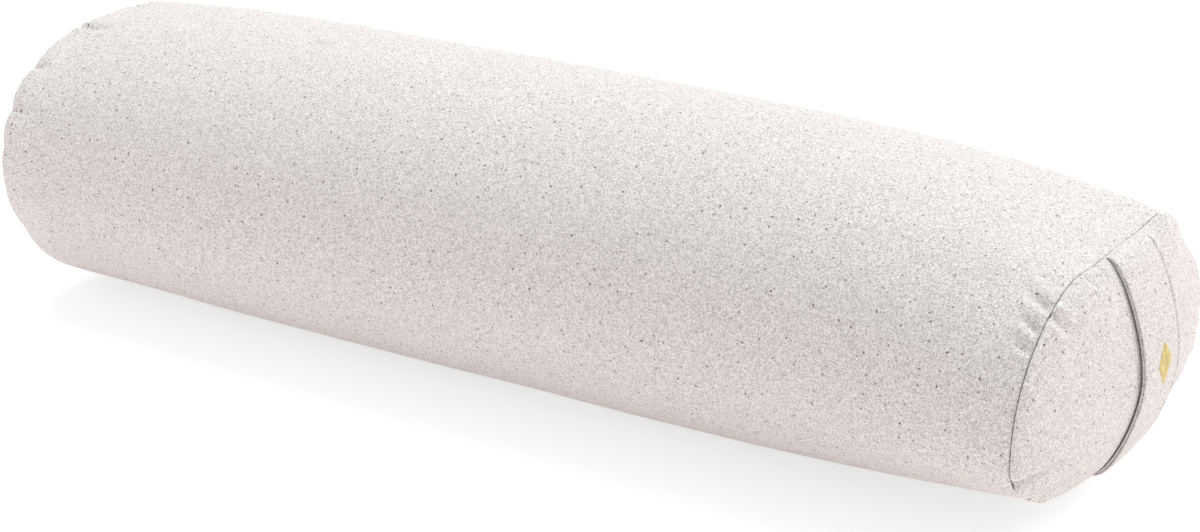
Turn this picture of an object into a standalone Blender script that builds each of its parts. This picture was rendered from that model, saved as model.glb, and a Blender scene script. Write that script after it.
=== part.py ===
"""A stuffed round yoga bolster: canvas cover with a carry handle, inner bag and filling.

The bolster lies along X with its handle at the +X end. It stands on the plane z = 0,
and the origin is under the middle of its length. All sizes are in metres.
"""

import math
from collections import namedtuple

import bmesh
import bpy
from mathutils import Vector

# Cloth, and the gap that is left between pieces that touch
CANVAS = 0.0012
LINING = 0.0008
TOUCH = 0.0003

# The stuffed tube, from seam to seam
TUBE_LENGTH = 0.757
TUBE_TOP = 0.2012
TUBE_WIDTH = 0.2480
BASE_SINK = 0.0034
TAPER = 3.93
COLLAR = 0.002

# The near end is pulled flat by the handle, the far end stays nearly round
NEAR_WIDTH = 0.2730
NEAR_LEVEL = 0.0791
NEAR_ABOVE = 0.0918
NEAR_BELOW = 0.0531
NEAR_SQUARENESS = 2.20
NEAR_DOME = 0.0288
NEAR_FULLNESS = 1.48
NEAR_APEX = 0.0905
FAR_WIDTH = 0.2430
FAR_LEVEL = 0.0973
FAR_HALF_HEIGHT = 0.0917
FAR_SQUARENESS = 2.15
FAR_DOME = 0.0340
FAR_FULLNESS = 1.25
SEAM_DIP = 0.0093
SEAM_DIP_REACH = 0.0568

# The carry handle, a strap from the top seam to the bottom seam
HANDLE_WIDTH = 0.054
HANDLE_ASIDE = 0.0060
HANDLE_THICKNESS = 0.0028
HANDLE_GAP = 0.0012
HANDLE_DRAPE = 0.6
HANDLE_FULLNESS = 0.6
HANDLE_SEAM_MARGIN = 0.0015
LOZENGE_PLACE = 0.5
LOZENGE_WIDTH = 0.022
LOZENGE_HEIGHT = 0.026
LOZENGE_THICKNESS = 0.0006

# Binding over the raw edges inside the end seams
BINDING_WIDTH = 0.010
BINDING_THICKNESS = 0.0010
BINDING_SETBACK = 0.0005

# The inner bag sits a little loose in the cover and is shorter at each end
BAG_EASE = 0.0040
BAG_END_EASE = 0.002
BAG_DOME_EASE = 0.0040
FILL_EASE = 0.0010

# Zips: the cover's runs along the back, the inner bag's along the front
COVER_ZIP_MARGIN = 0.125
INNER_ZIP_LENGTH = 0.250
INNER_ZIP_RECESS = 0.0037
SLOT_WIDTH = 0.011
ZIP_FLAT_WIDTH = 0.033
ZIP_FLAT_SAG = 0.0010
ZIP_FLAT_RUN = 0.040
ZIP_FADE_RUN = 0.045
ZIP_FADE_ANGLE = math.radians(11)
CHAIN_WIDTH = 0.0059
COIL_GAP = 0.0003
COIL_HEIGHT = 0.0020
TAPE_THICKNESS = 0.0006
TAPE_WIDTH = 0.0136
TAPE_SPLIT = 0.0028
TAPE_OVERRUN = 0.008
SLIDER_LENGTH = 0.010
SLIDER_WIDTH = 0.0094
SLIDER_PLATE = 0.0010
BRIDGE_LENGTH = 0.0020
BRIDGE_WIDTH = 0.0020
STOP_LENGTH = 0.0022
CROWN_LENGTH = 0.0072
CROWN_WIDTH = 0.0012
CROWN_HEIGHT = 0.0033
CROWN_BAR = 0.0010
PULL_LENGTH = 0.022
PULL_WIDTH = 0.0060
PULL_THICKNESS = 0.0011
PULL_EYE_LENGTH = 0.0040
PULL_EYE_WIDTH = 0.0026
PULL_BAR = 0.0011

# How finely the soft forms are faceted
ANGLE_STEP = math.radians(10)
PANEL_RINGS = (0.97, 0.88, 0.72, 0.50, 0.25)
BAG_END_RINGS = (0.93, 0.70, 0.38)
HANDLE_ROWS = 18
HANDLE_COLUMNS = 4
LOZENGE_STEPS = 5

CANVAS_COLOUR = (0.80, 0.76, 0.72)
LINING_COLOUR = (0.86, 0.84, 0.80)
BINDING_COLOUR = (0.84, 0.81, 0.77)
THREAD_GOLD = (0.72, 0.58, 0.22)
TAPE_COLOUR = (0.80, 0.77, 0.72)
COIL_COLOUR = (0.78, 0.75, 0.70)
METAL_COLOUR = (0.62, 0.61, 0.58)
HUSK_COLOUR = (0.62, 0.50, 0.34)

# Where the ends lie: the origin is under the middle of the overall length
HALF_TUBE = TUBE_LENGTH / 2
NEAR_REACH = NEAR_DOME + HANDLE_GAP + HANDLE_THICKNESS + TOUCH + LOZENGE_THICKNESS
MIDDLE_X = (FAR_DOME - NEAR_REACH) / 2
COVER_ZIP_HALF = HALF_TUBE - COVER_ZIP_MARGIN
INNER_ZIP_HALF = INNER_ZIP_LENGTH / 2
ZIP_FLAT_END = COVER_ZIP_HALF + ZIP_FLAT_RUN

Section = namedtuple("Section", "half_width level above below squareness")
Layer = namedtuple("Layer", "inset base end_ease recess")
Dome = namedtuple("Dome", "side sign depth fullness apex")

MIDDLE = Section(
    TUBE_WIDTH / 2,
    (TUBE_TOP - BASE_SINK) / 2,
    (TUBE_TOP + BASE_SINK) / 2,
    (TUBE_TOP + BASE_SINK) / 2,
    2.0,
)
NEAR = Section(NEAR_WIDTH / 2, NEAR_LEVEL, NEAR_ABOVE, NEAR_BELOW, NEAR_SQUARENESS)
FAR = Section(FAR_WIDTH / 2, FAR_LEVEL, FAR_HALF_HEIGHT, FAR_HALF_HEIGHT, FAR_SQUARENESS)

# The two end panels' domes, the near one's apex higher than its seam's widest place
NEAR_END = Dome("near", 1, NEAR_DOME, NEAR_FULLNESS, NEAR_APEX)
FAR_END = Dome("far", -1, FAR_DOME, FAR_FULLNESS, FAR_LEVEL)

# Each layer of cloth: how far it lies inside the outer skin, at the sides, on the base and at
# the ends, and how much deeper it is along the inner bag's zip
COVER = Layer(0.0, 0.0, 0.0, 0.0)
BINDING = Layer(CANVAS + TOUCH, CANVAS + TOUCH, 0.0, 0.0)
BAG = Layer(BAG_EASE, CANVAS + TOUCH, BAG_END_EASE, INNER_ZIP_RECESS)
SLIDER_ROOM = SLIDER_PLATE + TAPE_THICKNESS + 3 * TOUCH
FILL = Layer(
    BAG_EASE + LINING + FILL_EASE,
    BAG.base + LINING + TOUCH,
    BAG_END_EASE + LINING + FILL_EASE,
    INNER_ZIP_RECESS + SLIDER_ROOM,
)


def smooth(start, end, value):
    """0 before start, 1 after end, with an easy turn between them."""
    share = min(max((value - start) / (end - start), 0.0), 1.0)
    return share * share * (3 - 2 * share)


def mix(first, second, share):
    return first + (second - first) * share


def end_share(x, layer):
    """How much of the end's shape the tube has at x: 0 in the middle, 1 at the seam."""
    collar_start = HALF_TUBE - COLLAR
    reach = min(abs(x - MIDDLE_X), collar_start - layer.end_ease)
    return (reach / collar_start) ** TAPER


def zip_share(x, angle):
    """1 on the flat strip that a zip is sewn along, 0 away from it."""
    off_axis = abs(math.remainder(angle, math.pi))
    flat_angle = math.asin(ZIP_FLAT_WIDTH / 2 / MIDDLE.above)
    across = 1 - smooth(flat_angle, flat_angle + ZIP_FADE_ANGLE, off_axis)
    along = 1 - smooth(ZIP_FLAT_END, ZIP_FLAT_END + ZIP_FADE_RUN, abs(x - MIDDLE_X))
    return across * along


def seam_dip(y):
    """How far the handle pulls the near seam down at its top, flat across the strap."""
    return SEAM_DIP * math.exp(-((y / SEAM_DIP_REACH) ** 4))


def skin_point(x, angle, layer):
    """A point of one layer of the stuffed tube. Angle 0 is the back, a quarter turn the top."""
    share = end_share(x, layer)
    end = NEAR if x > MIDDLE_X else FAR
    across, up = math.cos(angle), math.sin(angle)
    squareness = mix(MIDDLE.squareness, end.squareness, share)
    reach = (abs(across) ** squareness + abs(up) ** squareness) ** (-1 / squareness)
    half_width = mix(MIDDLE.half_width, end.half_width, share)
    level = mix(MIDDLE.level, end.level, share)
    height = mix(MIDDLE.above, end.above, share) if up > 0 else mix(MIDDLE.below, end.below, share)
    y = (half_width - layer.inset) * reach * across
    z = level + (height - layer.inset) * reach * up
    if up > 0 and end is NEAR:
        z -= share * seam_dip(y)
    at_back = across > 0
    if at_back or layer.recess:
        flat = zip_share(x, angle)
        depth = MIDDLE.half_width - ZIP_FLAT_SAG - layer.inset
        depth = depth if at_back else -(MIDDLE.half_width - layer.inset - layer.recess)
        y = mix(y, depth, flat)
        z = mix(z, MIDDLE.level + MIDDLE.above * up, flat)
    return Vector((x, y, max(z, layer.base)))


def section_angles():
    """The lines along the tube: close together at the two zips, even between them."""
    slot = math.asin(SLOT_WIDTH / 2 / MIDDLE.above)
    flat = math.asin(ZIP_FLAT_WIDTH / 2 / MIDDLE.above)
    steps = round((math.pi - 4 * ANGLE_STEP) / ANGLE_STEP)
    half = [slot, flat]
    half += [2 * ANGLE_STEP + ANGLE_STEP * i for i in range(steps + 1)]
    half += [math.pi - flat, math.pi - slot]
    return half + [a + math.pi for a in half]


def stations(layer, extra=()):
    """Where the tube has a ring of points along X, for a layer that ends at its own seam."""
    end = HALF_TUBE - layer.end_ease
    half = [INNER_ZIP_HALF, COVER_ZIP_HALF, ZIP_FLAT_END, mix(ZIP_FLAT_END, HALF_TUBE, 0.5)]
    half += list(extra) + [end - COLLAR, end]
    half.sort()
    return [MIDDLE_X - h for h in reversed(half)] + [MIDDLE_X + h for h in half]


def tube_rows(xs, layer):
    return [[skin_point(x, a, layer) for a in section_angles()] for x in xs]


def bulge(share, rise, fullness):
    """How far a dome stands out: share 1 is its seam, 0 its middle."""
    return rise * (1 - share**fullness) ** (1 / fullness)


def dome_row(end_x, dome, share, rise, layer, start):
    """A ring of an end panel, drawn in from the seam towards the dome's apex."""
    ring = [skin_point(end_x, a, layer) for a in section_angles()]
    x = end_x + dome.sign * (start + bulge(share, rise, dome.fullness))
    return [Vector((x, p.y * share, mix(dome.apex, p.z, share))) for p in ring]


def panel_rows(dome, depth, layer, shares, gap):
    """An end panel's rings from the seam to the middle, with its short collar first."""
    end_x = MIDDLE_X + dome.sign * (HALF_TUBE - layer.end_ease)
    seam = dome_row(end_x, dome, 1.0, 0.0, layer, gap)
    rise = depth - gap - COLLAR
    rows = [dome_row(end_x, dome, s, rise, layer, gap + COLLAR) for s in (1.0, *shares)]
    apex = dome_row(end_x, dome, 0.0, rise, layer, gap + COLLAR)[0]
    return [seam, *rows], apex


def seam_excess(y, z):
    """Under 1 inside the near seam's outline, 1 on it and over 1 outside it."""
    raised = z + seam_dip(y)
    up = (raised - NEAR_LEVEL) / NEAR_ABOVE if raised > NEAR_LEVEL else (NEAR_LEVEL - z) / NEAR_BELOW
    return (abs(y) / (NEAR_WIDTH / 2)) ** NEAR_SQUARENESS + up**NEAR_SQUARENESS


def panel_x(y, z):
    """How far out the near end panel reaches at a point across and up it."""
    inner, outer = 0.0, 1.0
    for _ in range(30):
        share = (inner + outer) / 2
        if seam_excess(y / share, NEAR_APEX + (z - NEAR_APEX) / share) > 1:
            inner = share
        else:
            outer = share
    start = TOUCH + COLLAR
    return MIDDLE_X + HALF_TUBE + start + bulge(outer, NEAR_DOME - start, NEAR_FULLNESS)


def handle_point(y, along):
    """The handle's inner face: along runs from 0 at the top seam to 1 at the bottom seam."""
    top = NEAR_LEVEL + NEAR_ABOVE - SEAM_DIP - HANDLE_SEAM_MARGIN
    bottom = NEAR_LEVEL - NEAR_BELOW + HANDLE_SEAM_MARGIN
    z = mix(top, bottom, along)
    away = math.sin(math.pi * along)
    lift = TOUCH + (HANDLE_GAP - TOUCH) * away**HANDLE_FULLNESS
    drape = mix(1.0, HANDLE_DRAPE, away)
    return Vector((mix(panel_x(0.0, z), panel_x(y, z), drape) + lift, y, z))


def collection(name):
    made = bpy.data.collections.new(name)
    bpy.context.scene.collection.children.link(made)
    return made


def material(name, colour, roughness, metallic=0.0):
    made = bpy.data.materials.new(name)
    made.use_nodes = True
    shader = made.node_tree.nodes["Principled BSDF"]
    shader.inputs["Base Color"].default_value = (*colour, 1.0)
    shader.inputs["Roughness"].default_value = roughness
    shader.inputs["Metallic"].default_value = metallic
    return made


def add_object(name, mesh, group, look=None, parent=None):
    made = bpy.data.objects.new(name, mesh)
    group.objects.link(made)
    if look is not None:
        mesh.materials.append(look)
    made.parent = parent
    return made


def mesh_from(bm, name, smooth_faces=True):
    mesh = bpy.data.meshes.new(name)
    bm.to_mesh(mesh)
    bm.free()
    if smooth_faces:
        mesh.shade_smooth()
        mesh.set_sharp_from_angle(angle=math.radians(35))
    return mesh


def bridge_rows(bm, rows, closed, skip=lambda row, column: False):
    """Joins rows of points with faces. Seen from outside, rows run along and columns turn."""
    grid = [[bm.verts.new(p) for p in row] for row in rows]
    columns = len(rows[0])
    for i in range(len(rows) - 1):
        for j in range(columns if closed else columns - 1):
            if not skip(i, j):
                k = (j + 1) % columns
                bm.faces.new((grid[i][j], grid[i][k], grid[i + 1][k], grid[i + 1][j]))
    return grid


def thicken(obj, thickness):
    """Gives an open sheet its thickness, on the side away from its faces."""
    solid = obj.modifiers.new("thickness", "SOLIDIFY")
    solid.thickness = thickness
    solid.offset = -1
    solid.use_even_offset = True


def tube_shell(name, layer, xs, thickness, look, group, zip_half=0.0, zip_angle=0.0):
    """A sewn tube of cloth, open at both ends, with a slot for a zip where it has one."""
    angles = section_angles()
    last = len(angles) - 1

    def in_slot(i, j):
        middle_x = (xs[i] + xs[i + 1]) / 2 - MIDDLE_X
        turn = angles[j] + math.remainder(angles[(j + 1) % (last + 1)] - angles[j], math.tau) / 2
        return abs(middle_x) < zip_half and abs(math.remainder(turn - zip_angle, math.tau)) < 0.01

    bm = bmesh.new()
    bridge_rows(bm, tube_rows(xs, layer), True, in_slot)
    loose = [v for v in bm.verts if not v.link_faces]
    bmesh.ops.delete(bm, geom=loose, context="VERTS")
    made = add_object(name, mesh_from(bm, name), group, look)
    thicken(made, thickness)
    return made


def panel_shell(name, dome, depth, layer, shares, thickness, look, group):
    """A domed end panel of cloth, a hair's breadth off the tube's edge."""
    rows, apex = panel_rows(dome, depth, layer, shares, TOUCH)
    bm = bmesh.new()
    grid = bridge_rows(bm, rows, True)
    middle = bm.verts.new(apex)
    inner = grid[-1]
    for j in range(len(inner)):
        bm.faces.new((inner[j], inner[(j + 1) % len(inner)], middle))
    if dome.sign < 0:
        bmesh.ops.reverse_faces(bm, faces=bm.faces)
    made = add_object(name, mesh_from(bm, name), group, look)
    thicken(made, thickness)
    return made


def make_cover(group, canvas, binding):
    binding_start = HALF_TUBE - BINDING_WIDTH
    handle_side = mix(INNER_ZIP_HALF, COVER_ZIP_HALF, 0.5)
    xs = stations(COVER, (handle_side, binding_start))
    tube_shell("cover_tube", COVER, xs, CANVAS, canvas, group, COVER_ZIP_HALF, 0.0)
    for end in (NEAR_END, FAR_END):
        name = f"{end.side}_end_panel"
        panel_shell(name, end, end.depth, COVER, PANEL_RINGS, CANVAS, canvas, group)
        reaches = (binding_start, HALF_TUBE - COLLAR, HALF_TUBE - BINDING_SETBACK)
        ring_xs = sorted(MIDDLE_X + end.sign * reach for reach in reaches)
        name = f"{end.side}_seam_binding"
        tube_shell(name, BINDING, ring_xs, BINDING_THICKNESS, binding, group)


def make_handle(group, canvas, gold):
    """The strap over the near end, and the stitched lozenge in the middle of it."""
    pivot = bpy.data.objects.new("handle_middle", None)
    pivot.location = handle_point(HANDLE_ASIDE, 0.5)
    group.objects.link(pivot)

    def local(point):
        return point - pivot.location

    shares = [j / HANDLE_COLUMNS - 0.5 for j in range(HANDLE_COLUMNS + 1)]
    across = [HANDLE_ASIDE + HANDLE_WIDTH * share for share in shares]
    turns = [math.pi * i / HANDLE_ROWS for i in range(HANDLE_ROWS + 1)]
    down = [(1 - math.cos(turn)) / 2 for turn in turns]
    rows = [[local(handle_point(y, along)) for y in across] for along in down]
    bm = bmesh.new()
    bridge_rows(bm, rows, False)
    strap = add_object("carry_handle", mesh_from(bm, "carry_handle"), group, canvas, pivot)
    thicken(strap, HANDLE_THICKNESS)

    strap_height = (handle_point(0.0, 0.0) - handle_point(0.0, 1.0)).z
    face_off = HANDLE_THICKNESS + TOUCH
    steps = [2 * i / LOZENGE_STEPS - 1 for i in range(LOZENGE_STEPS + 1)]

    def stitched(down, side):
        """A point of the lozenge, on the strap's outer face, from its two slanting directions."""
        y = HANDLE_ASIDE + (side - down) / 2 * LOZENGE_WIDTH / 2
        along = LOZENGE_PLACE + (side + down) / 2 * LOZENGE_HEIGHT / 2 / strap_height
        return local(handle_point(y, along) + Vector((face_off, 0, 0)))

    bm = bmesh.new()
    bridge_rows(bm, [[stitched(down, side) for side in steps] for down in steps], False)
    patch = add_object("handle_lozenge", mesh_from(bm, "handle_lozenge"), group, gold, pivot)
    thicken(patch, LOZENGE_THICKNESS)
    return strap, patch


def zip_frame(name, side, group):
    """An empty that lays a zip's flat drawing on the bolster's side: its Z points outwards."""
    cover = side > 0
    depth = ZIP_FLAT_SAG + CANVAS if cover else BAG.inset + BAG.recess + LINING
    made = bpy.data.objects.new(name, None)
    made.location = (MIDDLE_X, side * (MIDDLE.half_width - depth), MIDDLE.level)
    made.rotation_euler = (-side * math.pi / 2, 0, 0)
    group.objects.link(made)
    return made


def add_box(name, low, high, group, look, parent, bevel=0.0):
    """A box between two corners, drawn in its parent's frame, with its origin in its middle."""
    low, high = Vector(low), Vector(high)
    bm = bmesh.new()
    bmesh.ops.create_cube(bm, size=1.0)
    bmesh.ops.scale(bm, vec=high - low, verts=bm.verts)
    made = add_object(name, mesh_from(bm, name, bevel > 0), group, look, parent)
    made.location = (low + high) / 2
    if bevel:
        edge = made.modifiers.new("rounded edges", "BEVEL")
        edge.width = bevel
        edge.segments = 2
    return made


def prism(name, outline, low, high, group, look=None, parent=None):
    """A flat outline in X and Y, raised from low to high."""
    bm = bmesh.new()
    base = bm.faces.new([bm.verts.new((x, y, low)) for x, y in outline])
    raised = bmesh.ops.extrude_face_region(bm, geom=[base])["geom"]
    top = [v for v in raised if isinstance(v, bmesh.types.BMVert)]
    bmesh.ops.translate(bm, vec=(0, 0, high - low), verts=top)
    bmesh.ops.recalc_face_normals(bm, faces=bm.faces)
    return add_object(name, mesh_from(bm, name, False), group, look, parent)


def cut(obj, cutter, operation="DIFFERENCE"):
    cutter.display_type = "WIRE"
    cutter.hide_render = True
    step = obj.modifiers.new(cutter.name, "BOOLEAN")
    step.object = cutter
    step.operation = operation
    step.solver = "EXACT"


def fork(half_width):
    """The slider's inside, seen from above: open at the back, split by the bridge in front."""
    back, front = -SLIDER_LENGTH, SLIDER_LENGTH
    bridge_back = SLIDER_LENGTH / 2 - BRIDGE_LENGTH
    bridge = BRIDGE_WIDTH / 2
    return [
        (back, -half_width),
        (front, -half_width),
        (front, -bridge),
        (bridge_back, -bridge),
        (bridge_back, bridge),
        (front, bridge),
        (front, half_width),
        (back, half_width),
    ]


def make_slider(name, place, group, cutters, look, parent):
    """Two plates joined by a bridge, that the chain runs between, with a crown for the pull."""
    tape_bottom = -TOUCH - TAPE_THICKNESS
    under, over = tape_bottom - TOUCH, COIL_HEIGHT + TOUCH
    front, wide = SLIDER_LENGTH / 2, SLIDER_WIDTH / 2
    narrow = wide - SLIDER_PLATE * 0.8
    chamfer = SLIDER_PLATE
    half = [(-front, narrow), (front - 3 * chamfer, wide), (front - chamfer, wide), (front, narrow)]
    outline = [(x, -y) for x, y in half] + [(x, y) for x, y in reversed(half)]
    body = prism(name, outline, under - SLIDER_PLATE, over + SLIDER_PLATE, group, look, parent)
    body.location = place
    deck = over + SLIDER_PLATE
    crown_half = CROWN_LENGTH / 2
    low = (-crown_half, -CROWN_WIDTH / 2, over + SLIDER_PLATE / 2)
    high = (crown_half, CROWN_WIDTH / 2, deck + CROWN_HEIGHT)
    crown = add_box(f"{name}_crown", low, high, cutters, None, body)
    eye_half = crown_half - CROWN_WIDTH
    low = (-eye_half, -CROWN_WIDTH, deck + CROWN_BAR / 5)
    high = (eye_half, CROWN_WIDTH, deck + CROWN_HEIGHT - CROWN_BAR)
    eye = add_box(f"{name}_crown_eye", low, high, cutters, None, body)
    slot = prism(f"{name}_tape_slot", fork(SLIDER_WIDTH), under, 0.0, cutters, None, body)
    room = CHAIN_WIDTH / 2 + TOUCH
    channel = prism(f"{name}_channel", fork(room), under, over, cutters, None, body)
    cut(body, crown, "UNION")
    for cutter in (eye, slot, channel):
        cut(body, cutter)
    return body


def pull_hinge_height():
    """How far the pull's hinge lies above the tape's side of the cloth."""
    deck = COIL_HEIGHT + TOUCH + SLIDER_PLATE
    return deck + (CROWN_BAR / 5 + CROWN_HEIGHT - CROWN_BAR) / 2


def make_pull(name, group, look, parent):
    """The pull: a flat tab with an eye, whose end bar lies in the slider's crown."""
    drawing = bpy.data.curves.new(name, "CURVE")
    drawing.dimensions = "2D"
    drawing.fill_mode = "BOTH"
    drawing.extrude = PULL_THICKNESS / 2
    radius = PULL_WIDTH / 2
    tip = -PULL_LENGTH + PULL_BAR / 2 + radius
    turns = [math.pi / 2 + math.pi * i / 10 for i in range(11)]
    outer = [(tip + radius * math.cos(a), radius * math.sin(a)) for a in turns]
    outer += [(PULL_BAR / 2, -radius), (PULL_BAR / 2, radius)]
    eye_back, eye = -PULL_BAR / 2 - PULL_EYE_LENGTH, PULL_EYE_WIDTH / 2
    inner = [(eye_back, -eye), (-PULL_BAR / 2, -eye), (-PULL_BAR / 2, eye), (eye_back, eye)]
    for outline in (outer, inner):
        spline = drawing.splines.new("POLY")
        spline.points.add(len(outline) - 1)
        for point, (x, y) in zip(spline.points, outline):
            point.co = (x, y, 0, 1)
        spline.use_cyclic_u = True
    made = add_object(name, drawing, group, look, parent)
    made.location = (0, 0, pull_hinge_height())
    return made


def make_zip(prefix, side, half_length, group, cutters, looks):
    """A closed coil zip, drawn flat in its frame: X along it, Y across it, Z outwards."""
    tape_look, coil_look, metal = looks
    frame = zip_frame(f"{prefix}_frame", side, group)
    stop_front = half_length - TOUCH
    slider_x = stop_front - STOP_LENGTH - TOUCH - SLIDER_LENGTH / 2
    chain_end = slider_x + SLIDER_LENGTH / 2 - BRIDGE_LENGTH - TOUCH
    chain_start = -half_length + STOP_LENGTH + 2 * TOUCH
    reach = half_length + TAPE_OVERRUN
    split, chain = TAPE_SPLIT / 2, CHAIN_WIDTH / 2
    for row, up in (("upper", -side), ("lower", side)):

        def strip(name, x_range, y_range, z_range, look, bevel=0.0):
            ys = sorted(up * y for y in y_range)
            low = (x_range[0], ys[0], z_range[0])
            high = (x_range[1], ys[1], z_range[1])
            return add_box(f"{prefix}_{row}_{name}", low, high, group, look, frame, bevel)

        tape_z = (-TOUCH - TAPE_THICKNESS, -TOUCH)
        strip("tape", (-reach, reach), (split, split + TAPE_WIDTH), tape_z, tape_look)
        chain_z = (0.0, COIL_HEIGHT)
        edge = COIL_HEIGHT / 4
        strip("coil", (chain_start, chain_end), (COIL_GAP / 2, chain), chain_z, coil_look, edge)
        stop_x = (stop_front - STOP_LENGTH, stop_front)
        strip("stop", stop_x, (split, chain), chain_z, metal)
    low = (chain_start - TOUCH - STOP_LENGTH, -chain, 0.0)
    high = (chain_start - TOUCH, chain, COIL_HEIGHT)
    add_box(f"{prefix}_bottom_stop", low, high, group, metal, frame)
    slider = make_slider(f"{prefix}_slider", (slider_x, 0, 0), group, cutters, metal, frame)
    make_pull(f"{prefix}_pull", group, metal, slider)
    travel = slider_x - SLIDER_LENGTH / 2 - TOUCH - (chain_start - TOUCH)
    print(f"{prefix}: the slider travels {travel * 1000:.1f} mm")
    return slider


def make_inner_bag(group, lining):
    """The thin cotton bag that holds the filling: a tube with a zip slot, and two ends."""
    tube_shell(
        "inner_bag_tube", BAG, stations(BAG), LINING, lining, group, INNER_ZIP_HALF, math.pi
    )
    for end in (NEAR_END, FAR_END):
        depth = end.depth + BAG_END_EASE - BAG_DOME_EASE
        name = f"inner_bag_{end.side}_end"
        panel_shell(name, end, depth, BAG, BAG_END_RINGS, LINING, lining, group)


def make_filling(group, husk):
    """The loose filling, as the one solid that it packs into."""
    inward = LINING + FILL_EASE
    bm = bmesh.new()
    ends = []
    for end in (FAR_END, NEAR_END):
        depth = end.depth + BAG_END_EASE - BAG_DOME_EASE
        ends.append(panel_rows(end, depth - inward, FILL, BAG_END_RINGS, 0.0))
    (far_rows, far_apex), (near_rows, near_apex) = ends
    middle = tube_rows(stations(FILL)[1:-1], FILL)
    grid = bridge_rows(bm, far_rows[::-1] + middle + near_rows, True)
    for ring, apex in ((grid[0][::-1], far_apex), (grid[-1], near_apex)):
        tip = bm.verts.new(apex)
        for j in range(len(ring)):
            bm.faces.new((ring[j], ring[(j + 1) % len(ring)], tip))
    add_object("filling", mesh_from(bm, "filling"), group, husk)


def main():
    for old in list(bpy.data.objects):
        bpy.data.objects.remove(old, do_unlink=True)
    group = collection("yoga_bolster")
    cutters = collection("cutters")
    canvas = material("natural canvas", CANVAS_COLOUR, 0.9)
    binding = material("binding tape", BINDING_COLOUR, 0.9)
    gold = material("golden thread", THREAD_GOLD, 0.5)
    make_cover(group, canvas, binding)
    make_handle(group, canvas, gold)
    lining = material("thin cotton", LINING_COLOUR, 0.9)
    make_inner_bag(group, lining)
    make_filling(group, material("husks", HUSK_COLOUR, 0.9))
    looks = (
        material("zip tape", TAPE_COLOUR, 0.85),
        material("zip coil", COIL_COLOUR, 0.45),
        material("zip metal", METAL_COLOUR, 0.35, 1.0),
    )
    make_zip("cover_zip", 1, COVER_ZIP_HALF, group, cutters, looks)
    make_zip("inner_zip", -1, INNER_ZIP_HALF, group, cutters, looks)


main()
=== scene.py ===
# %% [markdown]
# # A long yoga bolster, built the way it is sewn
# The real object is a tube of heavy natural cotton canvas with a panel set into each end. A
# wide carry strap runs up and down over the near end, and the cover opens with a zip on its
# back. Inside lies a bag of thin cotton, filled with husks. This lesson loads the finished CAD
# frame first, because every piece of cloth has to sit exactly where the solid says.

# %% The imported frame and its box
import math
from collections import namedtuple

import bpy
import numpy as np
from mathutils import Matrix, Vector, noise


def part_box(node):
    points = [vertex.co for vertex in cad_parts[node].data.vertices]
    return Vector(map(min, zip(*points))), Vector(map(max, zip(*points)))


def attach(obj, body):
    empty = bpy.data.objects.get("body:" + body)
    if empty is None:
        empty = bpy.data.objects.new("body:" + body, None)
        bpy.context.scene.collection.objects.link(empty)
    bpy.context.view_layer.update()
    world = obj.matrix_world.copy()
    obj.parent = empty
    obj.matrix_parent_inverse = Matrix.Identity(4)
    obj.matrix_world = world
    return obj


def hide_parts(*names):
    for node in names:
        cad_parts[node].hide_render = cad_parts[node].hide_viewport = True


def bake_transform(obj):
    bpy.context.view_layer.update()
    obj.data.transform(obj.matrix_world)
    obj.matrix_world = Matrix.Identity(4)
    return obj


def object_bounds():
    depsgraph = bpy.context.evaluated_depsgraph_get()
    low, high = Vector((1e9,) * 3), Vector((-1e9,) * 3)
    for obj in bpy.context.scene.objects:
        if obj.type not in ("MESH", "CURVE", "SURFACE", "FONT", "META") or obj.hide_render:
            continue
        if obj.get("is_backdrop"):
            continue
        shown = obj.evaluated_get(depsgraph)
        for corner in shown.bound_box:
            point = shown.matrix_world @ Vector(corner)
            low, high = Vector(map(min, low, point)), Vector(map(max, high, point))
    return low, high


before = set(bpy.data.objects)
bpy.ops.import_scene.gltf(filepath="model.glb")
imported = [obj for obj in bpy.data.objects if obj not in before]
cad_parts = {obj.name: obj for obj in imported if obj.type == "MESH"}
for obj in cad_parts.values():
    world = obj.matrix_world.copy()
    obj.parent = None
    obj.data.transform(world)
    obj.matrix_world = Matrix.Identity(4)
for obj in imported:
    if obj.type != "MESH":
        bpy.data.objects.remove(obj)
bpy.context.view_layer.update()
cad_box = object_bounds()
print("CAD box:", [[round(v, 4) for v in corner] for corner in cad_box])

# %% [markdown]
# ## The camera
# The bolster is seen from its front and a little to the right, from above, so that its near
# end shows. A long lens keeps the tube's two outlines nearly parallel. The camera is aimed by
# turning its -Z axis to the target, which is simpler than working out three angles.

# %% The camera
CAMERA_PLACE = (0.9052, -1.3745, 0.7001)
CAMERA_TARGET = (0.0285, 0.0, 0.0769)
LENS = 80.81
SENSOR_WIDTH = 36.0

scene = bpy.context.scene


def aim(name, data, place, target):
    """Puts a camera or a lamp at its place and turns it towards its target."""
    made = bpy.data.objects.new(name, data)
    made.location = place
    made.rotation_euler = (Vector(target) - Vector(place)).to_track_quat("-Z", "Y").to_euler()
    scene.collection.objects.link(made)
    return made


camera = aim("camera", bpy.data.cameras.new("camera"), CAMERA_PLACE, CAMERA_TARGET)
camera.data.lens = LENS
camera.data.sensor_width = SENSOR_WIDTH
scene.camera = camera
scene.view_settings.view_transform = "Standard"
print("camera to target:", round(math.dist(CAMERA_PLACE, CAMERA_TARGET), 3), "m")

# %% [markdown]
# ## Small helpers for node trees
# A material in Blender is a tree of nodes. It could be wired by hand with long lists of links.
# A few helpers keep it readable instead: each places one kind of node, plugs its inputs and
# hands back its output. A pattern that several materials share becomes a node group.

# %% Node helpers
def plug(tree, node, inputs):
    """Fills or links a node's inputs, which are given by name or number."""
    for key, value in inputs.items():
        if isinstance(value, bpy.types.NodeSocket):
            tree.links.new(value, node.inputs[key])
        else:
            node.inputs[key].default_value = value


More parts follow.
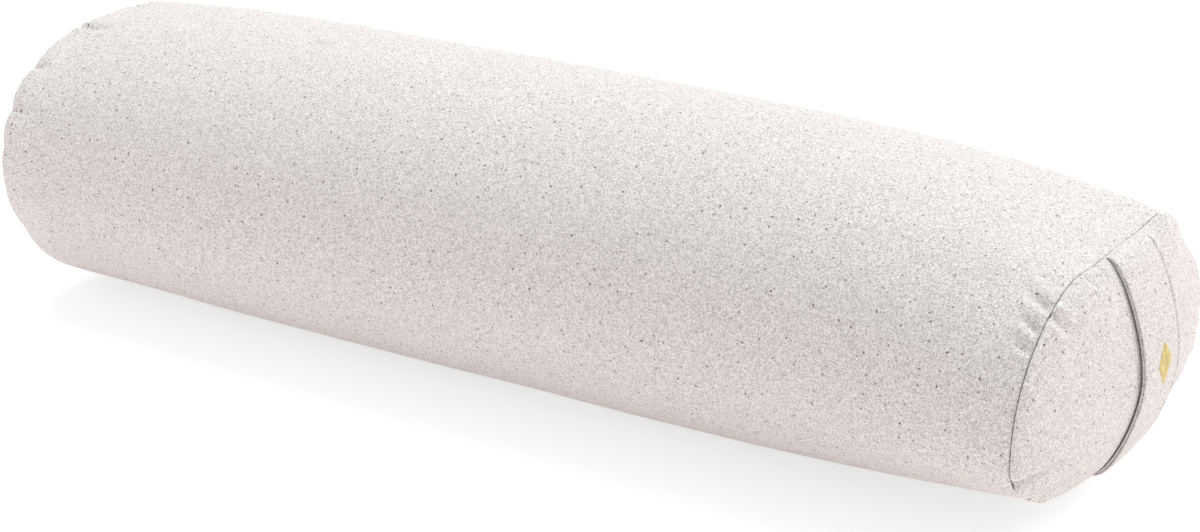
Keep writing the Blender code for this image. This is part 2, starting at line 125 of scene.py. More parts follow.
def place_node(tree, kind, inputs=None, **settings):
    """Adds a shader node, sets its options and plugs its inputs."""
    made = tree.nodes.new("ShaderNode" + kind)
    for key, value in settings.items():
        setattr(made, key, value)
    plug(tree, made, inputs or {})
    return made


def calc(tree, operation, *values):
    """One step of arithmetic with numbers."""
    return place_node(tree, "Math", dict(enumerate(values)), operation=operation).outputs[0]


def calc_vector(tree, operation, inputs):
    """One step of arithmetic with vectors."""
    return place_node(tree, "VectorMath", inputs, operation=operation).outputs[0]


def cloud(tree, place, scale, detail=2.0, output="Fac"):
    """Soft noise."""
    inputs = {"Vector": place, "Scale": scale, "Detail": detail}
    return place_node(tree, "TexNoise", inputs).outputs[output]


def blend_colours(tree, factor, *colours):
    """Mixes two colours by a mask. Each is a red, green and blue, or a node's output."""
    ready = [c if isinstance(c, bpy.types.NodeSocket) else (*c, 1.0) for c in colours]
    inputs = {0: factor, 6: ready[0], 7: ready[1]}
    return place_node(tree, "Mix", inputs, data_type="RGBA").outputs[2]


print("node helpers ready")

# %% Material helpers
def new_material(name):
    """A node material, with its tree and its Principled shader."""
    made = bpy.data.materials.new(name)
    made.use_nodes = True
    return made, made.node_tree, made.node_tree.nodes["Principled BSDF"]


def on_object(tree):
    """The piece's own coordinates, in metres."""
    return place_node(tree, "TexCoord").outputs["Object"]


def raised(tree, height, strength, distance=0.0001, **settings):
    """Fine relief, as the direction that the surface seems to face."""
    inputs = {"Height": height, "Strength": strength, "Distance": distance}
    return place_node(tree, "Bump", inputs, **settings).outputs[0]


def new_group(name, inputs, outputs):
    """An empty node group with its sockets: (label, kind, default) in, labels of numbers out."""
    group = bpy.data.node_groups.new(name, "ShaderNodeTree")
    for label, kind, default in inputs:
        socket = group.interface.new_socket(name=label, in_out="INPUT", socket_type=kind)
        if default is not None:
            socket.default_value = default
    for label in outputs:
        group.interface.new_socket(name=label, in_out="OUTPUT", socket_type="NodeSocketFloat")
    return group, group.nodes.new("NodeGroupInput").outputs, group.nodes.new("NodeGroupOutput")


print("material helpers ready")

# %% [markdown]
# ## The room: a pale floor and soft light
# The photograph shows the bolster on a seamless white ground with a faint grey shadow. The
# white could be had by flooding the scene with light, but that would burn out the pale cloth.
# So sky and floor are white only to the camera and to reflections, and three large soft lamps
# give the object its shape.

# %% The sky
SKY_LEVEL = 0.67
SKY_COLOUR = (1.0, 0.995, 0.985, 1.0)


def seen_directly(tree):
    """1 for camera, mirror and glass rays, 0 for the light that falls on the object."""
    path = place_node(tree, "LightPath").outputs
    mirror = calc(tree, "MAXIMUM", path["Is Glossy Ray"], path["Is Transmission Ray"])
    return calc(tree, "MAXIMUM", path["Is Camera Ray"], mirror)


world = bpy.data.worlds.new("soft sky")
world.use_nodes = True
scene.world = world
sky = world.node_tree
level = calc(sky, "MULTIPLY_ADD", seen_directly(sky), 1.0 - SKY_LEVEL, SKY_LEVEL)
plug(sky, sky.nodes["Background"], {"Color": SKY_COLOUR, "Strength": level})
print("sky level on the object:", SKY_LEVEL)

# %% The floor
FLOOR_SEEN = (0.555, 0.57, 0.58)
FLOOR_BOUNCE = (0.91, 0.825, 0.825)
FLOOR_GLOW_SEEN = 0.57
FLOOR_GLOW = 0.33
FLOOR_HALF = 20.0
FLOOR_DROP = 0.0004

floor_look, ground = new_material("pale ground")[:2]
ground.nodes.clear()
seen = seen_directly(ground)
ground_colour = blend_colours(ground, seen, FLOOR_BOUNCE, FLOOR_SEEN)
matt = place_node(ground, "BsdfDiffuse", {"Color": ground_colour})
glow_level = calc(ground, "MULTIPLY_ADD", seen, FLOOR_GLOW_SEEN - FLOOR_GLOW, FLOOR_GLOW)
glow = place_node(ground, "Emission", {"Strength": glow_level})
both = place_node(ground, "AddShader", {0: matt.outputs[0], 1: glow.outputs[0]})
place_node(ground, "OutputMaterial", {"Surface": both.outputs[0]})

corners = [(x * FLOOR_HALF, y * FLOOR_HALF, 0.0) for x, y in ((-1, -1), (1, -1), (1, 1), (-1, 1))]
floor_mesh = bpy.data.meshes.new("floor")
floor_mesh.from_pydata(corners, [], [(0, 1, 2, 3)])
floor_mesh.materials.append(floor_look)
floor = bpy.data.objects.new("floor", floor_mesh)
floor.location.z = -FLOOR_DROP
scene.collection.objects.link(floor)
floor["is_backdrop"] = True
print("floor:", 2 * FLOOR_HALF, "m wide")

# %% The lamps
# Each row: name, place, point it looks at, width, height, power and colour
LAMPS = (
    ("overhead softbox", (-0.35, 0.5, 1.95), (0.0, 0.0, 0.1), 2.4, 1.2, 27.5, (1.0, 0.99, 0.98)),
    ("end softbox", (1.5, 0.8, 1.4), (0.35, 0.0, 0.1), 1.0, 1.0, 16.0, (1.0, 0.985, 0.975)),
    ("far fill", (-1.1, -1.2, 0.9), (-0.35, 0.0, 0.1), 0.8, 0.8, 2.1, (1.0, 0.985, 0.975)),
)
for name, place, target, width, height, power, colour in LAMPS:
    lamp = bpy.data.lights.new(name, "AREA")
    lamp.shape = "RECTANGLE"
    lamp.size, lamp.size_y = width, height
    lamp.energy, lamp.color = power, colour
    aim(name, lamp, place, target)
print("lamps:", len(LAMPS))

# %% [markdown]
# ## The shape that the stuffing gives the cloth
# A stuffed tube is round in its middle. Towards each end panel its section turns into the
# panel's own outline: wide and low at the near end, where the handle also pulls the seam down,
# and a squarish round at the far end. The cloth could be sculpted by hand, but the CAD model
# follows a law for every point, so the same law is written again here and the cloth lands
# exactly on the solid. Cover, tapes, bag and filling are one shape at four depths.

# %% The measures of the stuffed tube
Section = namedtuple("Section", "half_width level above below squareness")
Dome = namedtuple("Dome", "side sign depth fullness apex")

HALF_TUBE = 0.3785
MIDDLE_X = 0.00015
NEAR_SEAM = MIDDLE_X + HALF_TUBE
FAR_SEAM = MIDDLE_X - HALF_TUBE
TAPER = 3.93
COLLAR = 0.002
MIDDLE = Section(0.1240, 0.0989, 0.1023, 0.1023, 2.0)
NEAR = Section(0.1365, 0.0791, 0.0918, 0.0531, 2.20)
FAR = Section(0.1215, 0.0973, 0.0917, 0.0917, 2.15)
NEAR_END = Dome("near", 1, 0.0288, 1.48, 0.0905)
FAR_END = Dome("far", -1, 0.0340, 1.25, 0.0973)
DOMES = (NEAR_END, FAR_END)
print("seams at x =", NEAR_SEAM, "and", FAR_SEAM)

# %% The layers of cloth
Layer = namedtuple("Layer", "inset base end_ease recess")

COVER = Layer(0.0, 0.0, 0.0, 0.0)
BINDING = Layer(0.0017, 0.0017, 0.0, 0.0)
BAG = Layer(0.0040, 0.0015, 0.0020, 0.0037)
FILL = Layer(0.0058, 0.0026, 0.0038, 0.0062)
print("the filling lies", FILL.inset * 1000, "mm inside the outer skin")

# %% [markdown]
# ## The law of the tube's skin
# Every ring of the tube is a superellipse, a circle that can be pressed wider, lower or
# squarer. It goes over to the end's by a power of the way there, so the tube stays round for
# most of its length, and along the two zips the stiff tapes hold the cloth nearly flat.

# %% Easy turns and the flat strips along the zips
ZIP_FLAT_HALF = 0.0165
ZIP_FLAT_END = 0.2935
ZIP_FADE_RUN = 0.045
ZIP_FADE_ANGLE = math.radians(11)


def smooth(start, end, value):
    """0 before start, 1 after end, with an easy turn between them."""
    share = np.clip((value - start) / (end - start), 0.0, 1.0)
    return share * share * (3 - 2 * share)


def mix(first, second, share):
    """The value at a share of the way from the first to the second."""
    return first + (second - first) * share


def zip_share(x, angle):
    """1 on the flat strips that a zip is sewn along, 0 away from them."""
    off_axis = np.abs(np.mod(angle + math.pi / 2, math.pi) - math.pi / 2)
    flat_angle = math.asin(ZIP_FLAT_HALF / MIDDLE.above)
    across = 1 - smooth(flat_angle, flat_angle + ZIP_FADE_ANGLE, off_axis)
    return across * (1 - smooth(ZIP_FLAT_END, ZIP_FLAT_END + ZIP_FADE_RUN, np.abs(x - MIDDLE_X)))


print("flat strips:", 2 * ZIP_FLAT_HALF * 1000, "mm wide")

# %% The skin
SEAM_DIP = 0.0093
SEAM_DIP_REACH = 0.0568
ZIP_FLAT_SAG = 0.0010


def seam_dip(y):
    """How far the handle pulls the near seam down at its top."""
    return SEAM_DIP * np.exp(-((y / SEAM_DIP_REACH) ** 4))


def skin(x, angle, layer):
    """Points of one layer of the stuffed tube. Angle 0 is the back, a quarter turn the top."""
    x, angle = np.broadcast_arrays(np.asarray(x, float), np.asarray(angle, float))
    collar_start = HALF_TUBE - COLLAR
    reach = np.minimum(np.abs(x - MIDDLE_X), collar_start - layer.end_ease)
    share = (reach / collar_start) ** TAPER
    near = x > MIDDLE_X

    def measure(name):
        end = np.where(near, getattr(NEAR, name), getattr(FAR, name))
        return mix(getattr(MIDDLE, name), end, share)

    across, up = np.cos(angle), np.sin(angle)
    power = measure("squareness")
    stretch = (np.abs(across) ** power + np.abs(up) ** power) ** (-1 / power)
    height = np.where(up > 0, measure("above"), measure("below"))
    y = (measure("half_width") - layer.inset) * stretch * across
    z = measure("level") + (height - layer.inset) * stretch * up
    z = z - np.where(near & (up > 0), share * seam_dip(y), 0.0)
    at_back = across > 0
    flat = np.where(at_back | (layer.recess > 0), zip_share(x, angle), 0.0)
    back_depth = MIDDLE.half_width - ZIP_FLAT_SAG - layer.inset
    front_depth = MIDDLE.half_width - layer.inset - layer.recess
    y = mix(y, np.where(at_back, back_depth, -front_depth), flat)
    z = mix(z, MIDDLE.level + MIDDLE.above * up, flat)
    return np.stack([x, y, np.maximum(z, layer.base)], axis=-1)


print("the tube's top in the middle:", skin(MIDDLE_X, math.pi / 2, COVER).round(4))

# %% [markdown]
# ## Distances along a seam
# A fold is as wide on the flat side of a seam as at its narrow corner, but a degree of angle
# is not. So each seam is measured once in metres, and all that starts at it is placed by that.

# %% The seams and their lengths
LENGTH_ANGLES = np.radians(np.arange(0, 360.5, 0.5))


def run_along(points, axis=0):
    """The distance walked along lines of points, from zero."""
    steps = np.linalg.norm(np.diff(points, axis=axis), axis=-1)
    return np.insert(np.cumsum(steps, axis=axis), 0, 0.0, axis=axis)


def seam_ring(dome, layer, angles):
    """The outline that an end panel is sewn to."""
    return skin(MIDDLE_X + dome.sign * (HALF_TUBE - layer.end_ease), angles, layer)


SEAM_LENGTHS = {dome.side: run_along(seam_ring(dome, COVER, LENGTH_ANGLES)) for dome in DOMES}


def seam_place(side, angle):
    """How far along the seam an angle lies, in metres from the back."""
    return np.interp(np.mod(angle, math.tau), LENGTH_ANGLES, SEAM_LENGTHS[side])


def seam_aside(side, angle, centre):
    """How far an angle lies from a place on the seam, the short way round."""
    total = SEAM_LENGTHS[side][-1]
    return np.mod(seam_place(side, angle) - centre + total / 2, total) - total / 2


print("seam lengths:", {side: round(float(run[-1]), 4) for side, run in SEAM_LENGTHS.items()})

# %% [markdown]
# ## Swellings and hollows of the seams
# The filling swells a seam out in one place and a pull draws it in at another, over a few
# centimetres. Proportional editing could do it; bells can be tuned against the photograph.

# %% The swells
Swell = namedtuple("Swell", "angle width length height")

SWELLS = {
    "near": (Swell(38.0, 0.029, 0.018, -0.0082), Swell(60.0, 0.022, 0.028, 0.0020)),
    "far": (
        Swell(140.0, 0.040, 0.025, 0.0025),
        Swell(94.0, 0.015, 0.020, -0.0020),
        Swell(207.0, 0.026, 0.030, -0.0036),
        Swell(236.0, 0.030, 0.045, 0.0024),
    ),
}


def swell_height(side, angle, distance):
    """Broad soft swellings (or hollows, below zero) of a seam and of the tube beside it."""
    height = 0.0
    for swell in SWELLS[side]:
        aside = seam_aside(side, angle, seam_place(side, math.radians(swell.angle)))
        bell = np.exp(-((aside / swell.width) ** 2) - (distance / swell.length) ** 2)
        height = height + swell.height * bell
    return height


print("swells:", {side: len(swells) for side, swells in SWELLS.items()})

# %% [markdown]
# ## The law of the end panels
# An end panel is flat canvas that the filling pushes out into a dome. A scaled half sphere
# would do if it were round. A stack of rings, the seam's own outline drawn in step by step
# towards an apex, keeps the edge exactly on the seam.

# %% The rings of an end panel
TOUCH = 0.0003
COLLAR_SHOWN = {"near": 1.0, "far": 0.25}
COLLAR_STEPS = np.array([0.0, 0.1, 0.25, 0.45, 0.75, 1.0])
RING_CROWDING = 1.3
ANGLE_NUDGE = 0.001


def unit(vectors):
    """The same directions with a length of one."""
    return vectors / np.maximum(np.linalg.norm(vectors, axis=-1, keepdims=True), 1e-12)


def swollen_ring(dome, layer, angles):
    """The seam's outline as it looks with its swellings and hollows."""
    after = seam_ring(dome, layer, angles + ANGLE_NUDGE)
    along = after - seam_ring(dome, layer, angles - ANGLE_NUDGE)
    outward = unit(np.stack([np.zeros(len(angles)), along[:, 2], -along[:, 1]], axis=-1))
    return seam_ring(dome, layer, angles) + outward * swell_height(dome.side, angles, 0.0)[:, None]


def panel_rows(dome, layer, depth, angles, steps, gap=TOUCH):
    """Rings of an end panel: a short collar, then a dome drawn in towards its apex."""
    ring = swollen_ring(dome, layer, angles)
    turn = (np.arange(1, steps + 1) / (steps + 0.5)) ** RING_CROWDING * math.pi / 2
    collar = COLLAR * COLLAR_SHOWN[dome.side] * COLLAR_STEPS
    rise = depth - gap - collar[-1]
    shares = np.concatenate([np.ones(len(collar)), np.cos(turn) ** (2 / dome.fullness)])
    out = np.concatenate([collar, collar[-1] + rise * np.sin(turn) ** (2 / dome.fullness)]) + gap
    rows = np.repeat(ring[None], len(shares), axis=0)
    rows[..., 0] += dome.sign * out[:, None]
    rows[..., 1] *= shares[:, None]
    rows[..., 2] = mix(dome.apex, rows[..., 2], shares[:, None])
    apex = np.array([ring[0, 0] + dome.sign * depth, 0.0, dome.apex])
    return rows, apex


print("the near dome's tip:", panel_rows(NEAR_END, COVER, NEAR_END.depth, LENGTH_ANGLES, 2)[1].round(4))

# %% [markdown]
# ## How puckers form along a sewn seam
# The tube's cloth is a little longer than the panel's edge, so it is eased in while sewing.
# What is left over stands up as short folds that start at the seam, fan out and die away
# within a few centimetres. A cloth simulation makes such folds too, but at places of its own.
# Here each is written down as a maker would note it. The far end is gathered harder: there the
# cloth bulges between sharp pinches and stands out past its own stitches.

# %% One eased fold
Fold = namedtuple("Fold", "angle length depth width lean")

FAN_OUT = 0.8
RIDGE_ASIDE = 2.0
RIDGE_SHARE = 0.55
FADE_START = 0.1
SHARE_AT_SEAM = 0.25
SEAM_RUN = 0.004


def fold_height(side, angle, distance, fold):
    """One eased fold: a valley between two ridges that starts at the seam and fades."""
    centre = seam_place(side, math.radians(fold.angle)) + fold.lean * distance
    aside = seam_aside(side, angle, centre)
    spread = fold.width * (1 + FAN_OUT * distance / fold.length)
    valley = np.exp(-((aside / spread) ** 2))
    ridges = np.exp(-(((np.abs(aside) - RIDGE_ASIDE * spread) / spread) ** 2))
    fade = 1 - smooth(FADE_START * fold.length, fold.length, distance)
    start = mix(SHARE_AT_SEAM, 1.0, smooth(0.0, SEAM_RUN, distance))
    return fold.depth * fade * start * (RIDGE_SHARE * ridges - valley)


NEAR_TUBE_FOLDS = (
    Fold(129.5, 0.027, 0.0030, 0.0029, -0.20),
    Fold(137.5, 0.019, 0.0027, 0.0024, -0.38),
    Fold(143.5, 0.019, 0.0021, 0.0024, -0.10),
    Fold(121.0, 0.014, 0.0007, 0.0024, -0.20),
    Fold(150.5, 0.014, 0.0010, 0.0024, 0.10),
    Fold(205.0, 0.013, 0.0010, 0.0030, 0.30),
    Fold(326.0, 0.020, 0.0014, 0.0030, 0.20),
    Fold(338.0, 0.016, 0.0012, 0.0026, 0.10),
)
NEAR_PANEL_FOLDS = (
    Fold(131.0, 0.030, 0.0032, 0.0032, 0.35),
    Fold(119.0, 0.018, 0.0011, 0.0022, 0.10),
    Fold(113.0, 0.022, 0.0013, 0.0019, 0.10),
    Fold(105.0, 0.028, 0.0015, 0.0019, 0.15),
    Fold(66.0, 0.024, 0.0018, 0.0022, -0.10),
    Fold(150.0, 0.018, 0.0009, 0.0030, 0.10),
    Fold(198.0, 0.052, 0.0048, 0.0046, 0.15),
    Fold(221.0, 0.040, 0.0024, 0.0044, 0.15),
    Fold(352.0, 0.045, 0.0013, 0.0042, 0.45),
    Fold(338.0, 0.045, 0.0014, 0.0044, 0.50),
    Fold(322.0, 0.040, 0.0012, 0.0044, 0.50),
)
FAR_TUBE_FOLDS = (
    Fold(108.0, 0.042, 0.0034, 0.0024, 0.10),
    Fold(83.0, 0.026, 0.0017, 0.0022, -0.10),
    Fold(132.0, 0.020, 0.0008, 0.0020, 0.10),
)
print("folds:", len(NEAR_TUBE_FOLDS), len(NEAR_PANEL_FOLDS), len(FAR_TUBE_FOLDS))

# %% Gathers and edges
FAR_PINCHES = (
    (14, 0.0022), (34, 0.0026), (57, 0.0026), (82, 0.0046), (107, 0.0026), (132, 0.0046),
    (151, 0.0062), (167, 0.0028), (186, 0.0009), (207, 0.0006), (229, 0.0007), (252, 0.0008),
    (283, 0.0012), (309, 0.0022), (331, 0.0028), (352, 0.0024),
)
FAR_REACH = 0.026
LOBE_AT_SEAM = 0.42
LOBE_INSIDE = 1.3
FAR_PUSH = 0.0035
FAR_PUSH_REACH = 0.028
SHOULDER_DEPTH = 0.0026
SHOULDER_REACH = 0.010
RIM_DEPTH = 0.0054
RIM_FALL = 0.0015
RIM_RISE = (0.004, 0.022)


def gather_height(angle, distance):
    """Cloth of the far end that bulges between sharp pinches."""
    total = SEAM_LENGTHS["far"][-1]
    spots = seam_place("far", np.radians([pinch[0] for pinch in FAR_PINCHES]))
    depths = np.array([pinch[1] for pinch in FAR_PINCHES])
    place = np.mod(seam_place("far", angle), total)
    after = np.searchsorted(spots, place) % len(spots)
    before = (after - 1) % len(spots)
    gap = np.mod(spots[after] - spots[before], total)
    share = np.clip(np.mod(place - spots[before], total) / gap, 0.0, 1.0)
    gone = smooth(0.0, FAR_REACH, distance)
    lobe = (4 * share * (1 - share)) ** mix(LOBE_AT_SEAM, LOBE_INSIDE, gone) - 1
    return mix(depths[before], depths[after], share) * lobe * (1 - gone)


def shoulder(distance):
    """The gathered cloth at the far end bows in before it reaches its seam."""
    left = np.clip(1 - distance / SHOULDER_REACH, 0.0, 1.0)
    return SHOULDER_DEPTH * (1 - np.sqrt(1 - left**2))


def tucked_rim(distance):
    """The far panel's edge lies deeper than the gathered cloth round it."""
    depth = mix(SHOULDER_DEPTH, RIM_DEPTH, smooth(0.0, RIM_FALL, distance))
    return depth * (1 - smooth(*RIM_RISE, distance))


def pushed_out(grid, to_far):
    """The gathered far end stands out a little past its own seam."""
    grid = grid.copy()
    grid[..., 0] -= FAR_PUSH * (1 - smooth(0.0, FAR_PUSH_REACH, to_far))
    return grid


print("far pinches:", len(FAR_PINCHES))

# %% The relief
ROLL = 0.0015
LUMP_SCALE = np.array([6.0, 13.0, 13.0])
FINER = 2.3
FINER_SHARE = 0.5


def tube_relief(x, angle):
    """All the seam folds on the tube, for every ring at x and column at an angle."""
    to_near = np.maximum(NEAR_SEAM - x, 0.0)
    to_far = np.maximum(x - FAR_SEAM, 0.0)
    height = gather_height(angle, to_far) - shoulder(to_far)
    height = height + swell_height("far", angle, to_far) + swell_height("near", angle, to_near)
    for fold in FAR_TUBE_FOLDS:
        height = height + fold_height("far", angle, to_far, fold)
    for fold in NEAR_TUBE_FOLDS:
        height = height + fold_height("near", angle, to_near, fold)
    return height


def panel_relief(dome, angle, distance):
    """All the seam folds on an end panel."""
    if dome.side == "far":
        return gather_height(angle, distance) - tucked_rim(distance)
    return sum(fold_height("near", angle, distance, fold) for fold in NEAR_PANEL_FOLDS)


def soft_lumps(points, amount=0.0007):
    """The slow unevenness of stuffed cloth, longer along the tube than round it."""
    flat = points.reshape(-1, 3) * LUMP_SCALE
    lumps = [noise.noise(Vector(p)) + FINER_SHARE * noise.noise(Vector(p * FINER)) for p in flat]
    return amount * np.array(lumps).reshape(points.shape[:-1])


def rolled(distance, radius=ROLL):
    """How far an edge that is turned in lies below the sheet, at a distance from it."""
    inside = np.clip(radius - distance, 0.0, radius)
    return radius - np.sqrt(radius**2 - inside**2)


print("a turned edge lies", rolled(0.0) * 1000, "mm below its sheet")

# %% [markdown]
# ## From rows of points to cloth
# Every sheet of cloth here is a grid: rows run along the tube and columns turn round it. The
# grid could be lofted with curves, but a plain mesh keeps full control of the seams and of
# the UV map. That map, named cloth, holds real metres along and across the weave, so the same
# yarn has the same size on every piece and stays put when a piece bends.

# %% Grids into meshes
def sheet_normals(grid):
    """The outward direction at each point of a grid that closes round the tube."""
    along = np.gradient(grid, axis=0)
    around = np.roll(grid, -1, axis=1) - np.roll(grid, 1, axis=1)
    return unit(np.cross(around, along))


def sheet_mesh(name, grid, uv, keep=None, flip=False, tips=(None, None), caps=False):
    """A mesh from a grid of points that closes round; uv has one more column. A tip closes
    the grid's first or last row with a fan of triangles, and caps close both rows flat."""
    rows, columns = grid.shape[:2]
    index = np.arange(rows * columns).reshape(rows, columns)
    index = np.hstack([index, index[:, :1]])

    def quads(values):
        ring = (values[:-1, :-1], values[:-1, 1:], values[1:, 1:], values[1:, :-1])
        return np.stack(ring, axis=2)

    wanted = np.ones((rows - 1, columns), bool) if keep is None else keep
    faces = quads(index)[wanted].tolist()
    face_uv = quads(uv)[wanted].tolist()
    points = grid.reshape(-1, 3).tolist()
    for row, step, tip in ((0, -1, tips[0]), (rows - 1, 1, tips[1])):
        if tip is not None:
            for column in range(columns):
                pair = [column, column + 1][::step]
                faces.append([*index[row, pair].tolist(), len(points)])
                face_uv.append([*uv[row, pair].tolist(), uv[row].mean(axis=0).tolist()])
            points.append(list(tip))
        if caps:
            faces.append(index[row, :columns][::step].tolist())
            face_uv.append(uv[row, :columns][::step].tolist())
    if flip:
        faces = [face[::-1] for face in faces]
        face_uv = [corners[::-1] for corners in face_uv]
    used = sorted({corner for face in faces for corner in face})
    renamed = {old: new for new, old in enumerate(used)}
    faces = [[renamed[corner] for corner in face] for face in faces]
    mesh = bpy.data.meshes.new(name)
    mesh.from_pydata([points[old] for old in used], [], faces)
    layer = mesh.uv_layers.new(name="cloth")
    layer.data.foreach_set("uv", [value for corners in face_uv for pair in corners for value in pair])
    mesh.shade_smooth()
    return mesh


print("grids into meshes: ready")

# %% Piece helpers
def add_piece(name, mesh, look, body="bolster", stands_for=()):
    """Puts a mesh in the scene, on its body, with its finish and the CAD nodes it replaces."""
    made = bpy.data.objects.new(name, mesh)
    scene.collection.objects.link(made)
    mesh.materials.append(look)
    if body:
        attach(made, body)
    if stands_for:
        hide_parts(*stands_for)
    print(f"{name}: {len(mesh.vertices)} points")
    return made


def thicken(made, thickness):
    """Gives a sheet its thickness, on the inside."""
    solid = made.modifiers.new("thickness", "SOLIDIFY")
    solid.thickness = thickness
    solid.offset = -1.0
    graph = bpy.context.evaluated_depsgraph_get()
    final = bpy.data.meshes.new_from_object(made.evaluated_get(graph))
    made.modifiers.clear()
    made.data = final
    final.shade_smooth()


print("piece helpers ready")

# %% [markdown]
# ## Natural cotton canvas
# The cloth is a plain weave of unbleached cotton, with yarns of about half a millimetre. An
# image could be laid on it, but a pattern worked out from the UV map stays sharp at any
# distance. Plain weave is a chequerboard: on one square the lengthwise yarn lies on top, on
# the next the crosswise one. Noise drawn out along the yarns makes them look spun.

# %% The weave as a node group: the yarns
WANDER_SCALE = 0.22
WANDER = 1.1

weave, given, result = new_group(
    "plain weave",
    [("Cloth", "NodeSocketVector", None), ("Yarn", "NodeSocketFloat", 0.0006)],
    ("Height", "Slub", "Grain", "Tilt"),
)
count = calc(weave, "DIVIDE", 1.0, given["Yarn"])
in_yarns = calc_vector(weave, "SCALE", {0: given["Cloth"], 3: count})
wander = cloud(weave, in_yarns, WANDER_SCALE, output="Color")
wander = calc_vector(weave, "SUBTRACT", {0: wander, 1: (0.5, 0.5, 0.5)})
wander = calc_vector(weave, "SCALE", {0: wander, 3: WANDER})
bent = calc_vector(weave, "ADD", {0: in_yarns, 1: wander})
u, v = place_node(weave, "SeparateXYZ", {0: bent}).outputs[:2]
squares = calc(weave, "ADD", calc(weave, "FLOOR", u), calc(weave, "FLOOR", v))
turn = calc(weave, "PINGPONG", squares, 1.0)


def pick(lengthwise, crosswise):
    """The first value where the lengthwise yarn lies on top, and the second elsewhere."""
    other = calc(weave, "MULTIPLY", calc(weave, "SUBTRACT", 1.0, turn), crosswise)
    return calc(weave, "ADD", calc(weave, "MULTIPLY", turn, lengthwise), other)


def crown(way):
    """The round back of the yarns, across one direction."""
    return calc(weave, "ABSOLUTE", calc(weave, "SINE", calc(weave, "MULTIPLY", way, math.pi)))


def yarn_height(own, other):
    """A yarn has its own round back, and it dips where the next one crosses."""
    dip = calc(weave, "MULTIPLY_ADD", other, 0.5, 0.5)
    return calc(weave, "MULTIPLY", calc(weave, "SQRT", own), dip)


crown_u, crown_v = crown(u), crown(v)
height = pick(yarn_height(crown_u, crown_v), yarn_height(crown_v, crown_u))
plug(weave, result, {"Height": height})
print("the yarns:", len(weave.nodes), "nodes")

# %% The weave as a node group: slubs, grain and fuzz
SLUB_ACROSS = 0.9
SLUB_ALONG = 0.07
FUZZ_SCALE = 1050.0
FUZZ = 2.8


def streaks(*stretch):
    """Thick and thin places that run along one direction of the yarns."""
    place = calc_vector(weave, "MULTIPLY", {0: bent, 1: (*stretch, 1.0)})
    return cloud(weave, place, 1.0, 1.0)


slub = pick(streaks(SLUB_ACROSS, SLUB_ALONG), streaks(SLUB_ALONG, SLUB_ACROSS))
square = calc_vector(weave, "FLOOR", {0: bent})
chance = place_node(weave, "TexWhiteNoise", {"Vector": square}, noise_dimensions="2D")
fuzz = calc(weave, "SUBTRACT", cloud(weave, given["Cloth"], FUZZ_SCALE, 1.0), 0.5)
tilt = place_node(weave, "Clamp", {"Value": calc(weave, "MULTIPLY_ADD", fuzz, FUZZ, 0.5)})
plug(weave, result, {"Slub": slub, "Grain": chance.outputs["Value"], "Tilt": tilt.outputs[0]})
print("plain weave:", len(weave.nodes), "nodes")

# %% [markdown]
# ## Bits of seed in unbleached cotton
# Cotton that isn't bleached keeps small dark bits of seed. They could be painted on by hand.
# A Voronoi texture scatters them: each cell draws lots for its bit, its size and its tone.

# %% The seed flecks as a node group
RAGGED_SCALE = 1600.0
RAGGED = (0.0011, 0.0011, 0.0)

flecks, given, result = new_group(
    "seed flecks",
    [
        ("Cloth", "NodeSocketVector", None),
        ("Spacing", "NodeSocketFloat", 0.004),
        ("Size", "NodeSocketFloat", 0.0004),
        ("Share", "NodeSocketFloat", 0.5),
    ],
    ["Mask"],
)
wobble = cloud(flecks, given["Cloth"], RAGGED_SCALE, output="Color")
ragged = calc_vector(flecks, "MULTIPLY_ADD", {0: wobble, 1: RAGGED, 2: given["Cloth"]})
per_metre = calc(flecks, "DIVIDE", 1.0, given["Spacing"])
inputs = {"Vector": ragged, "Scale": per_metre}
cells = place_node(flecks, "TexVoronoi", inputs, voronoi_dimensions="2D").outputs
away = calc(flecks, "MULTIPLY", cells["Distance"], given["Spacing"])
lots = place_node(flecks, "SeparateXYZ", {0: cells["Color"]}).outputs
size = calc(flecks, "MULTIPLY", given["Size"], calc(flecks, "MULTIPLY_ADD", lots[1], 0.5, 0.75))
inner = calc(flecks, "MULTIPLY", size, 0.6)
inputs = {"Value": away, "From Min": inner, "From Max": size, "To Min": 1.0, "To Max": 0.0}
spot = place_node(flecks, "MapRange", inputs).outputs[0]
present = calc(flecks, "LESS_THAN", lots[0], given["Share"])
weight = calc(flecks, "MULTIPLY_ADD", lots[2], 0.4, 0.6)
mask = calc(flecks, "MULTIPLY", calc(flecks, "MULTIPLY", spot, present), weight)
plug(flecks, result, {"Mask": mask})
print("seed flecks:", len(flecks.nodes), "nodes")

# %% [markdown]
# ## Four cloths from one function
# Canvas, lining, binding and zip tape are all matt cotton, so one function makes all four.
# The zip tapes keep CAD meshes without a UV map, and their weave lies on object coordinates.

# %% Cloth finishes
COTTON = {
    "Roughness": 0.92, "Specular IOR Level": 0.2, "Sheen Weight": 0.06, "Sheen Roughness": 0.5,
}
FLECK_TONE = (0.16, 0.13, 0.11)
# What the weave does to the tone: an output of the group, its gain and its offset.
# The Height part darkens the dips between the yarns: painted shade.
TONE_PARTS = (("Grain", 1.35, -0.10), ("Slub", 0.3, -0.15), ("Height", 0.25, -0.12))
# Spacing, size, share and strength of the small flecks and of the large ones
FLECKS = ((0.0060, 0.00055, 0.5, 0.7), (0.0115, 0.00078, 0.7, 1.0))


